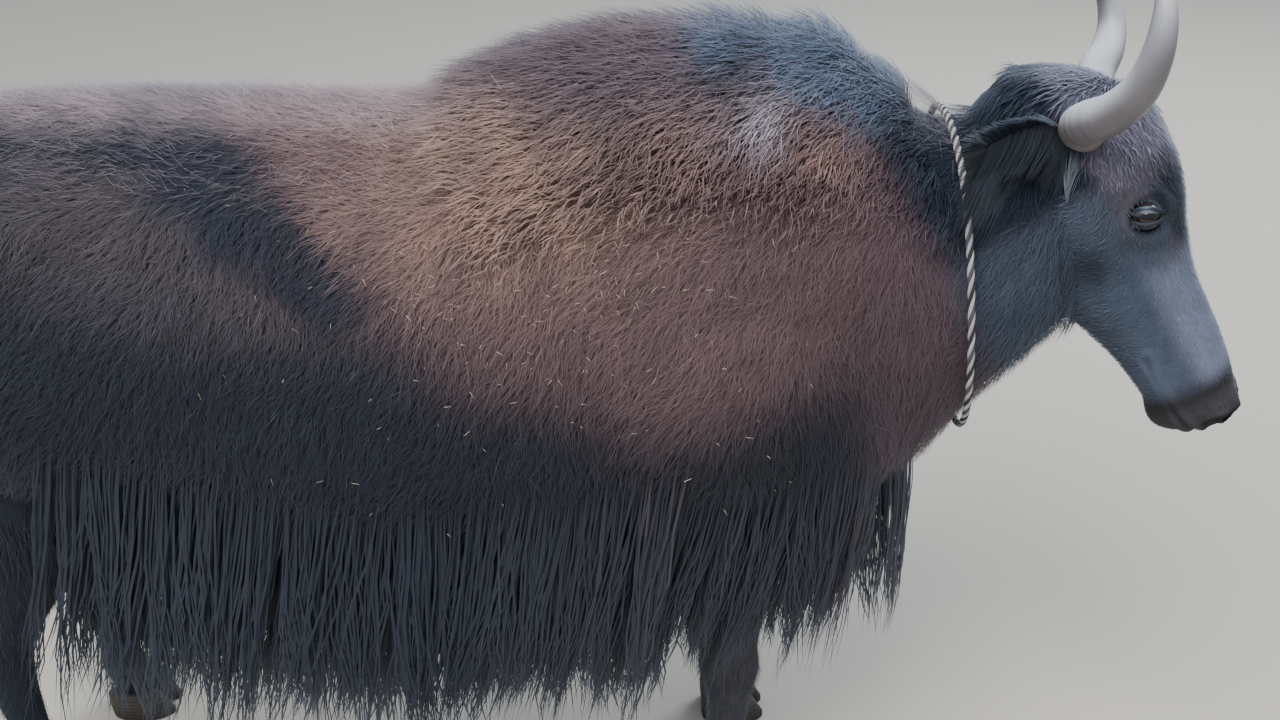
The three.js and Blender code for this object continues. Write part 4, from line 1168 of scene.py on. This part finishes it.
def coat_of_mane():
    def density(place, angle, point):
        x, y, z = point.T
        return (smooth(-190, -40, under_crest(place, point)) * smooth(60, 160, x)
                * smooth(MANE_LAST, MANE_LAST - 25, x) * (1 + (y < 20)))
    place, angle, point, normal, roots, distance = rooted(
        body_point, place_at(MANE_LAST), 22000, density, first=place_at(MANE_FIRST))
    centre, number = clumps(roots, len(roots) // 16)
    lie = tousled(body_lie(point, normal), normal, roots, 110, 14, 13)
    top = smooth(0.5, 0.9, normal[:, 2])
    high = smooth(-150, -30, under_crest(place, point))
    length = (32 + 14 * high + 32 * top) * vary(0.6, 1.2, roots)
    rise = distance * vary(0.8, 1.1, roots)
    rise = rise + (5 * high + mane_stand(point[:, 0], normal)) * vary(0.5, 1.15, roots)
    gather = drawn_in(centre, roots, 0.1, 0.4)
    hair("coat_mane", roots, normal, lie, length, vary(1.5, 2.5, roots), rise,
         tones(roots, number), unwrap(place, BODY_LAST, angle), segments=2, gather=gather,
         sag=length * 0.05, swing=random.normal(0, 6, len(roots)), hug=length ** 2 / 900)


def fuzz_of_ridge():
    """Fine single hairs that soften the outline of the back and the hump."""
    def density(place, angle, point):
        return smooth(0.72, 0.92, np.sin(angle)) * smooth(720, 690, point[:, 0]) + 1e-9
    place, angle, point, normal, roots, distance = rooted(body_point, BODY_LAST, 13000, density)
    x = point[:, 0]
    lie = tousled(body_lie(point, normal), normal, roots, 60, 25, 30)
    length = (24 + 14 * smooth(40, 140, x)) * vary(0.6, 1.3, roots)
    stand = mane_stand(x, normal) * smooth(20, 90, x)
    start = roots + normal * (distance + 0.7 * stand - 4)[:, None]
    # painted sheen: the outline's fine hairs are mixed with a pale tone for the soft rim of light along the
    # back
    colour = tones(roots, np.zeros(len(roots), int), 0.15) * 0.7 + 0.3 * FUZZ_SHEEN
    hair("coat_fuzz", start, normal, lie, length, vary(0.8, 1.3, roots), vary(5, 15, roots),
         colour, unwrap(place, BODY_LAST, angle), segments=1, sink=3.0)


LONG_HAIR = [  # name, x range, range of angles, count, height of the tips, width, lean back and out
    ("coat_skirt_upper", (-430, 370), (-44, 6), 4600, 322, 3.6, 0.16, 0.06),
    ("coat_skirt_lower", (-400, 350), (-64, -34), 2900, 275, 4.4, 0.12, 0.12),
    ("coat_belly", (-330, 300), (-91, -60), 900, 300, 5.5, 0.1, 0.1),
    ("coat_shoulder", (330, 610), (-56, -10), 2200, 350, 3.6, 0.2, 0.0),
    ("coat_brisket", (470, 640), (-91, -45), 850, 335, 4.6, 0.05, 0.05),
]


def hanging(name, x_range, angles, count, tip_height, width, back, out):
    """Long hair of one band of the body, down to the height of its tips."""
    def density(place, angle, point):
        turn = np.degrees(np.arcsin(np.sin(angle)))
        return (turn > angles[0]) * smooth(angles[1], angles[1] - 14, turn) + 1e-9
    first, last = place_at(x_range[0]), place_at(x_range[1])
    place, angle, point, normal, roots, distance = rooted(body_point, last, count, density, first=first)
    centre, number = clumps(roots, max(len(roots) // 14, 2))
    lie = np.tile([-back, 0.0, -1.0], (len(roots), 1))
    lie[:, :2] += normal[:, :2] * out
    lie = unit(lie)
    inward = np.minimum(np.sum(lie * normal, 1), 0)
    lie = unit(lie - normal * (0.8 * inward)[:, None])
    clump_length = random.uniform(0.7, 1.04, number.max() + 1)[number]
    full = (point[:, 2] - tip_height) / np.maximum(-lie[:, 2], 0.3)
    length = full * clump_length * vary(0.72, 1.03, roots)
    clump_swing = random.normal(0, 0.075, number.max() + 1)[number]
    gather = drawn_in(centre, roots, 0.3, 0.9)
    rise = distance * vary(0.6, 1.15, roots)
    colour = tones(roots, number)
    colour += (NEAR_BLACK - colour) * random.uniform(0.5, 0.95, (len(roots), 1))
    hair(name, roots, normal, lie, length, width * vary(0.6, 1.2, roots), rise, colour,
         unwrap(place, BODY_LAST, angle), segments=5, gather=gather, swing=clump_swing * length, wave=9.0)


HEAD_HAIR_LENGTH = [  # place along the head and how long its hair is
    (-72, 46), (-30, 38), (20, 26), (60, 20), (120, 14), (200, 11), (300, 9), (400, 6), (450, 4),
]
HEAD_HAIR_WIDTH = [(-72, 2.8), (60, 2.2), (200, 1.6), (400, 1.1)]


def coat_of_head():
    def surface(place, angle):
        return head_point(head_form(place, angle))

    def density(place, angle, point):
        local = head_local(point)
        a, l, u = local.T
        eye = eye_distance(local)
        horn = np.linalg.norm(on_left(local) - HORN_ROOT, axis=1)
        pad = smooth(428, 436, a) * smooth(-16, -4, u)
        mouth = (np.abs(u + 31) < 5) & (a > 345)
        bare = (eye < 19) | (horn < 20) | (pad > 0.5) | (a > 446) | mouth
        small = 1 + 1.8 * smooth(250, 400, a) + 1.2 * smooth(60, 25, eye)
        return small * (1 - bare) * (1 + 0.4 * (l < 0)) + 1e-9
    layers = [  # name, count, length and width to the poll's, depth of the root and segments
        ("coat_head", 7000, 1.0, 1.0, 0.0, 2),
        ("coat_face", 42000, 0.7, 0.62, 0.3, 1),
    ]
    for name, count, long, wide, depth, segments in layers:
        place, angle, point, normal, roots, distance = rooted(surface, HEAD_LAST, count, density, 24)
        local = head_local(point)
        a, l, u = local.T
        hand = np.sign(l)
        upper = smooth(-30, 45, u)
        lie = np.stack([1.0 * upper - 0.35 * (1 - upper), 0.25 * hand,
                        -0.15 * upper - 0.9 * (1 - upper)], -1)
        back = smooth(20, -30, a)[:, None]
        nape = np.stack([-0.9 + 0.5 * (1 - upper), 0.35 * hand, -0.45 - 0.5 * (1 - upper)], -1)
        lie = tousled(head_direction(lie) * (1 - back) + nape * back, normal, roots, 60, 10, 12)
        clear = 0.45 + 0.55 * smooth(22, 60, eye_distance(local))
        behind_horn = smooth(70, 90, np.abs(l)) * smooth(75, 45, a) * smooth(45, 15, u)
        throat = smooth(-50, -100, u) * smooth(330, 220, a)
        base = table(HEAD_HAIR_LENGTH, a) + 16 * behind_horn
        length = (base + 22 * throat) * clear * long * vary(0.7, 1.25, roots)
        width = table(HEAD_HAIR_WIDTH, a) * (0.6 + 0.4 * clear)
        centre, number = clumps(roots, len(roots) // 8)
        gather = drawn_in(centre, roots, 0.05, 0.3)
        reach = np.maximum(distance, 1.0)
        start = roots + normal * (reach * depth)[:, None]
        rise = reach * (vary(0.5, 1.05, roots) - depth) + length * 0.05
        rise = np.minimum(rise, 0.42 * length)
        hair(name, start, normal, lie, length, width * wide * vary(0.8, 1.25, roots), rise,
             tones(roots, number, 0.09), unwrap(place, HEAD_LAST, angle), segments=segments,
             gather=gather, hug=length ** 2 / 260,
             swing=random.normal(0, 0.08, len(roots)) * length, sink=2.0)


PALE_LOCK = np.array([[44, 104, 30], [58, 110, 12], [76, 114, -4], [96, 112, -14]])
PALE_LOCK_HAIRS = 130


def pale_locks():
    """The thin pale lock that curves down below each horn."""
    for hand, side in HANDS:
        count = PALE_LOCK_HAIRS
        share = random.uniform(0, 0.6, count)
        spread = random.normal(0, 1, (count, 3)) * [7.5, 2.0, 7.5] * (1 - share)[:, None]
        roots = head_point(mirrored(line_at(PALE_LOCK, share) + spread, side))
        tips = head_point(mirrored(line_at(PALE_LOCK, np.minimum(share + 0.5, 1)) + spread * 0.15, side))
        way = tips - roots
        length = np.linalg.norm(way, axis=1) * vary(0.7, 1.15, roots)
        normal = np.tile(unit(head_direction([0.1, side, 0.3])), (count, 1))
        colour = LOCK_GREY * random.uniform(0.5, 1.1, (count, 1))
        uv = np.tile([0.3 + 0.3 * (side > 0), 0.5], (count, 1)) + random.uniform(-0.01, 0.01, (count, 2))
        hair(f"coat_lock_{hand}", roots, normal, unit(way), length, vary(0.7, 1.2, roots),
             vary(1, 6, roots), colour, uv, segments=3, hug=vary(0, 3, roots), sink=2.0)


LEG_HAIR_LENGTH = [(48, 12), (110, 15), (260, 20), (400, 34), (560, 80), (700, 95)]  # height and length
LEG_HAIR_WIDTH = [(48, 1.9), (200, 2.6), (450, 4.2), (700, 5.2)]


def coat_of_leg(name, rows, side):
    def surface(place, angle):
        return leg_point(rows, side, place, angle)

    def density(place, angle, point):
        return 1 + 0.8 * smooth(320, 120, point[:, 2])
    last = len(rows) - 1.0
    place, angle, point, normal, roots, distance = rooted(surface, last, 5200, density, 28, 1.5)
    z = point[:, 2]
    behind = smooth(0.1, -0.7, np.cos(angle))
    lie = np.tile([-0.12, 0, -1.0], (len(roots), 1))
    lie[:, 0] -= 0.25 * behind
    lie = tousled(lie, normal, roots, 60, 12, 8)
    long = table(LEG_HAIR_LENGTH, z) * (1 + 1.2 * behind * smooth(180, 420, z))
    length = long * vary(0.7, 1.25, roots) * (1 + 0.5 * smooth(80, 60, z))
    centre, number = clumps(roots, len(roots) // 8)
    gather = drawn_in(centre, roots, 0.3, 0.6)
    rise = np.maximum(distance, 2) * vary(0.6, 1.15, roots) + 0.1 * length * behind
    hair(name, roots, normal, lie, length, table(LEG_HAIR_WIDTH, z) * vary(0.65, 1.05, roots), rise,
         tones(roots, number), unwrap(place, last, angle), segments=1, gather=gather,
         hug=np.minimum(length ** 2 / 260, 12), sink=3.0)


def coat_of_tail():
    def density(place, angle, point):
        return 1 + 1.5 * smooth(1, 3, place)
    place, angle, point, normal, roots, distance = rooted(tail_point, TAIL_LAST, 1700, density, 38, 0.5)
    lie = np.tile([0.0, 0, -1.0], (len(roots), 1)) + normal * 0.14
    lie = unit(lie + 0.9 * np.array([-1, 0, 0.6]) * smooth(1.4, 0.6, place)[:, None])
    free = np.interp(place, [0.5, 2, 3.5, 5], [110, 240, 300, 300])
    length = np.minimum(free * vary(0.6, 1.15, roots), roots[:, 2] - TAIL_TIPS)
    centre, number = clumps(roots, len(roots) // 12)
    gather = drawn_in(centre, roots, 0.4, 0.8)
    hair("coat_tail", roots, normal, lie, length, vary(4.0, 6.5, roots),
         distance * vary(0.7, 1.2, roots), tones(roots, number), unwrap(place, TAIL_LAST, angle),
         segments=6, gather=gather, swing=random.normal(0, 10, len(roots)), wave=6)


EAR_TUFTS = 4600


def coat_of_ear(name, side):
    steps, sides = 60, 72
    rings = ear_rings(side, steps, sides)
    r = random.integers(3, steps - 1, EAR_TUFTS)
    i = random.integers(0, sides, EAR_TUFTS)
    roots = rings[r, i]
    middle = rings[r].mean(1)
    tip_way = unit(rings[np.minimum(r + 1, steps - 1)].mean(1) - middle)
    out = unit(roots - middle)
    turn = i / sides * 2 * math.pi
    inner = (np.sin(turn) > 0.2)
    facing = unit(head_direction(mirrored(EAR_FACE, side)))
    normal = np.where(inner[:, None], facing[None], out)
    lower = smooth(0.2, 0.9, out @ head_direction([1, 0, -0.3]))
    fringe = smooth(0.75, 0.97, np.abs(np.cos(turn)))
    drop = np.maximum(lower * fringe, 0.75 * inner)[:, None]
    lie = unit(tip_way * (1 - 0.6 * drop) + out * 0.3 + np.array([-0.2, 0, -1.1]) * drop)
    length = (30 + 38 * fringe * (0.3 + 0.7 * lower) + 22 * inner) * vary(0.6, 1.2, roots)
    centre, number = clumps(roots, 200)
    gather = drawn_in(centre, roots, 0.2, 0.6)
    colour = tones(roots, number) * 0.3 + BLUE_BLACK * 0.7
    hair(name, roots, normal, lie, length, vary(1.6, 2.8, roots), 3 + length * 0.12, colour,
         unwrap(r, steps, i, sides), segments=2, gather=gather, sink=1.0, sag=length * 0.12)


coat_of_body()
coat_of_mane()
fuzz_of_ridge()
for band in LONG_HAIR:
    hanging(*band)
coat_of_head()
pale_locks()
for leg, leg_rows in LEGS:
    for hand, side in HANDS:
        coat_of_leg(f"coat_leg_{leg}_{hand}", leg_rows, side)
coat_of_tail()
for hand, side in HANDS:
    coat_of_ear(f"coat_ear_{hand}", side)


# Eyes

def make_eyes():
    steps, sides = 40, 48
    polar = np.linspace(0.02, math.pi - 0.02, steps)
    turn = round_angles(sides)
    polar, turn = np.meshgrid(polar, turn, indexing="ij")
    outward = np.cos(polar)
    a = np.sin(polar) * np.cos(turn)
    u = np.sin(polar) * np.sin(turn)
    look = math.radians(EYE_LOOKS_UP)
    out = outward * math.cos(look) - u * math.sin(look)
    face = u * math.cos(look) + outward * math.sin(look)
    bulge = 1 + 0.035 * smooth(0.62, 0.9, outward)
    iris = smooth(0.95, 0.85, polar.ravel())
    pupil = smooth(1.05, 0.9, np.sqrt((u.ravel() / 0.5) ** 2 + (a.ravel() / 0.25) ** 2)) * iris
    colour = laid(np.tile(EYE_WHITE, (steps * sides, 1)), [(IRIS, iris), (PUPIL, pupil)])
    colour = np.vstack([colour, PUPIL, EYE_WHITE])
    for hand, side in HANDS:
        grid = np.stack([a, out * side, face], -1) * (EYE_RADIUS * bulge)[..., None]
        points, triangles = closed_loft(head_point(grid + mirrored(EYE_AT, side)))
        mesh = mesh_from(f"eye_{hand}_look", points, triangles, colour)
        place_piece(f"eye_{hand}_look", mesh, EYE, [f"eye_{hand}"])


# Horns

def make_horns():
    rings, sides = 190, 56
    share = np.linspace(0, 1, rings)
    for hand, line in (("left", HORN_LEFT), ("right", HORN_RIGHT)):
        centre = head_point(line_at(line, share))
        radius = row_at(HORN_RADII[:, None], share * (len(HORN_RADII) - 1))[:, 0]
        ridges = np.exp(-(share / 0.3) ** 2) * 0.55 * np.sin(share * 230 + 2 * np.sin(share * 31))
        grid = tube(centre, np.maximum(radius + ridges, 1.2), sides, head_direction([0.3, 0, -1]))
        points, triangles = closed_loft(grid)
        normal = unit(grid - centre[:, None])
        # painted light and shade: the horn is pale where it faces up and grey where it faces down, and its
        # yellowish base is fainter on the lit top
        light = smooth(-0.3, 0.75, normal[..., 2])
        t = np.broadcast_to(share[:, None], light.shape)
        colour = laid(np.tile(HORN_UNDER_SHADE, (light.size, 1)), [
            (HORN_PALE_LIT, light.ravel()),
            (HORN_BASE, (0.75 * smooth(0.34, 0.08, t) * (1 - 0.45 * light)).ravel()),
            (HORN_TIP, (0.4 * smooth(0.7, 1.0, t)).ravel()),
        ])
        grain = ripple(grid.reshape(-1, 3) * [1, 1, 0.35], 16, 21).reshape(t.shape)
        streak = 1 + 0.07 * np.sin(t * 90) * smooth(0.5, 0.1, t) + 0.09 * grain
        colour = np.vstack([colour * streak.reshape(-1, 1), HORN_BASE, HORN_TIP])
        mesh = mesh_from(f"horn_{hand}_look", points, triangles, colour)
        place_piece(f"horn_{hand}_look", mesh, HORN, [f"horn_{hand}"])


# Claws

def make_claws():
    levels = [  # height, share of the length, share of the width and shift forward
        (0, 0.975, 0.975, 10), (1.5, 0.99, 0.99, 10), (10, 1, 1, 9), (30, 0.9, 0.98, 2),
        (CLAW_TOP, 0.78, 0.92, -4),
    ]
    heights = np.array([level[0] for level in levels], float)
    sizes = np.array([level[1:] for level in levels], float)
    z = np.concatenate([[0, 1.5], np.linspace(3, CLAW_TOP, 40)])
    long, wide, shift = (np.interp(z, heights, sizes[:, k]) for k in range(3))
    groove = 1 + 0.008 * np.sin(z * 1.15) * smooth(4, 10, z)
    angle = round_angles(48)
    c, s = np.cos(angle), np.sin(angle)
    toe = np.maximum(0, c) ** 2
    for end, rows in LEGS:
        for hand, side in HANDS:
            for which, out in (("outer", 1), ("inner", -1)):
                x, y = rows[-1][:2]
                middle = y * side + out * side * (CLAW_WIDTH + CLAW_SPLIT) / 2
                across = (s * (1 - 0.28 * toe))[None] * (0.5 * CLAW_WIDTH * wide * groove)[:, None]
                along = power(c, 0.8)[None] * (0.5 * CLAW_LENGTH * long * groove)[:, None]
                bend = toe[None] * 4 * -out * side
                grid = np.stack([x + along + shift[:, None], middle + across + bend,
                                 np.repeat(z[:, None], len(angle), 1)], -1)
                points, triangles = closed_loft(grid)
                level = points[:, 2]
                bands = (0.5 + 0.5 * np.sin(level * 0.9))[:, None]
                colour = CLAW_DARK + (CLAW_PALE - CLAW_DARK) * bands * 0.4
                colour = colour * (0.75 + 0.5 * smooth(0, 40, level))[:, None]
                name = f"claw_{which}_{end}_{hand}"
                mesh = mesh_from(f"{name}_look", points, triangles, colour)
                place_piece(f"{name}_look", mesh, CLAW, [name])


# Rope

def make_rope():
    count = 720
    angle = round_angles(count)
    facing = unit(ROPE_PLANE_FACING)
    low, high = np.full(count, 12.0), np.full(count, BODY_LAST - 1)
    for _ in range(30):
        middle = (low + high) / 2
        ahead = (body_point(middle, angle, ROPE_RADIUS - ROPE_SINK) - ROPE_PLANE_AT) @ facing
        low = np.where(ahead < 0, middle, low)
        high = np.where(ahead < 0, high, middle)
    line = body_point(low, angle, ROPE_RADIUS - ROPE_SINK)
    tangent = unit(np.roll(line, -1, 0) - np.roll(line, 1, 0))
    outward = line - line.mean(0)
    outward = unit(outward - tangent * np.sum(outward * tangent, 1, keepdims=True))
    across = np.cross(tangent, outward)
    total = np.linalg.norm(np.roll(line, -1, 0) - line, axis=1).sum()
    turns = round(total / ROPE_LAY)
    twist = np.linspace(0, 2 * math.pi * turns, count, endpoint=False)
    parts, colours = [], []
    sides = 8
    for tone, phase in ROPE_STRANDS:
        turn = twist + phase * 2 * math.pi
        centre = (line + outward * (STRAND_OFF * np.cos(turn))[:, None]
                  + across * (STRAND_OFF * np.sin(turn))[:, None])
        way = unit(np.roll(centre, -1, 0) - np.roll(centre, 1, 0))
        side_way = unit(np.cross(way, outward))
        up = np.cross(side_way, way)
        k = round_angles(sides)
        ring = (centre[:, None] + side_way[:, None] * (STRAND_RADIUS * np.cos(k))[None, :, None]
                + up[:, None] * (STRAND_RADIUS * np.sin(k))[None, :, None])
        closed = loft_faces(count + 1, sides) % (count * sides)
        parts.append((ring.reshape(-1, 3), halved(closed)))
        colours.append(np.tile(linear(tone), (count * sides, 1)))
    points, triangles = gathered(parts)
    mesh = mesh_from("neck_rope_look", points, triangles, np.vstack(colours))
    place_piece("neck_rope_look", mesh, ROPE, ["neck_rope"])


# Straw caught in the coat

STRAWS = 800


def make_straw():
    first, last = place_at(-250), place_at(520)

    def density(place, angle, point):
        return spot(point[:, 0], point[:, 2], (190, 1000), (170, 130)) + 0.03
    place, angle, point, normal = scattered(body_point, last, STRAWS, density, first)
    way = along_surface(random.normal(size=(len(point), 3)), normal)
    length = random.uniform(3, 10, len(point))
    half = random.uniform(0.25, 0.5, len(point))
    side = np.cross(way, normal)
    start = point - way * length[:, None] / 2 + normal * random.uniform(-3, 2, (len(point), 1))
    end = point + way * length[:, None] / 2 + normal * random.uniform(-3, 3, (len(point), 1))
    corners = []
    for middle in (start, end):
        for turn in (90, 210, 330):
            c, s = math.cos(math.radians(turn)), math.sin(math.radians(turn))
            corners.append(middle + side * (half * c)[:, None] + normal * (half * s)[:, None])
    points = np.stack(corners, 1)
    faces = np.array([[0, 1, 4], [0, 4, 3], [1, 2, 5], [1, 5, 4], [2, 0, 3], [2, 3, 5], [0, 2, 1], [3, 4, 5]])
    triangles = (faces[None] + (np.arange(len(point)) * 6)[:, None, None]).reshape(-1, 3)
    tone = STRAW_TONE * random.uniform(0.7, 1.25, (len(point), 1))
    mesh = mesh_from("straw", points.reshape(-1, 3), triangles, np.repeat(tone, 6, 0))
    place_piece("straw", mesh, STRAW)


make_eyes()
make_horns()
make_claws()
make_rope()
make_straw()


# Floor, light and camera

def make_stage():
    floor_mesh = bpy.data.meshes.new("floor")
    reach = 60
    corners = [(-reach, -reach, 0), (reach, -reach, 0), (reach, reach, 0), (-reach, reach, 0)]
    floor_mesh.from_pydata(corners, [], [(0, 1, 2, 3)])
    floor = add_object("floor", floor_mesh)
    material, shader = new_material("Floor", 0.9, 0.1)
    shader.inputs["Base Color"].default_value = (*FLOOR_TONE, 1)
    floor_mesh.materials.append(material)


def make_light(name, at, size, power_watts, colour):
    lamp = bpy.data.lights.new(name, "AREA")
    lamp.shape = "DISK"
    lamp.size = size
    lamp.energy = power_watts
    lamp.color = colour
    holder = add_object(name, lamp)
    holder.location = at
    holder.rotation_mode = "QUATERNION"
    holder.rotation_quaternion = (Vector((0, 0, 0.8)) - Vector(at)).to_track_quat("-Z", "Y")


def make_world():
    world = bpy.data.worlds.new("sky")
    bpy.context.scene.world = world
    world.use_nodes = True
    background = world.node_tree.nodes["Background"]
    background.inputs["Color"].default_value = (0.78, 0.88, 1.0, 1)
    background.inputs["Strength"].default_value = 0.75


def make_camera():
    data = bpy.data.cameras.new("camera")
    data.sensor_width = SENSOR
    data.lens = CAMERA_LENS
    camera = add_object("camera", data)
    camera.location = (CAMERA_AT + SHIFT) * 0.001
    camera.rotation_euler = (math.radians(90 - CAMERA_DOWN), 0, 0)
    bpy.context.scene.camera = camera


make_stage()
make_light("key", (-1.5, -3.2, 5.5), 4.0, 420, (1.0, 0.97, 0.93))
make_light("rim", (3.5, 3.5, 4.5), 3.0, 260, (0.85, 0.92, 1.0))
make_world()
make_camera()
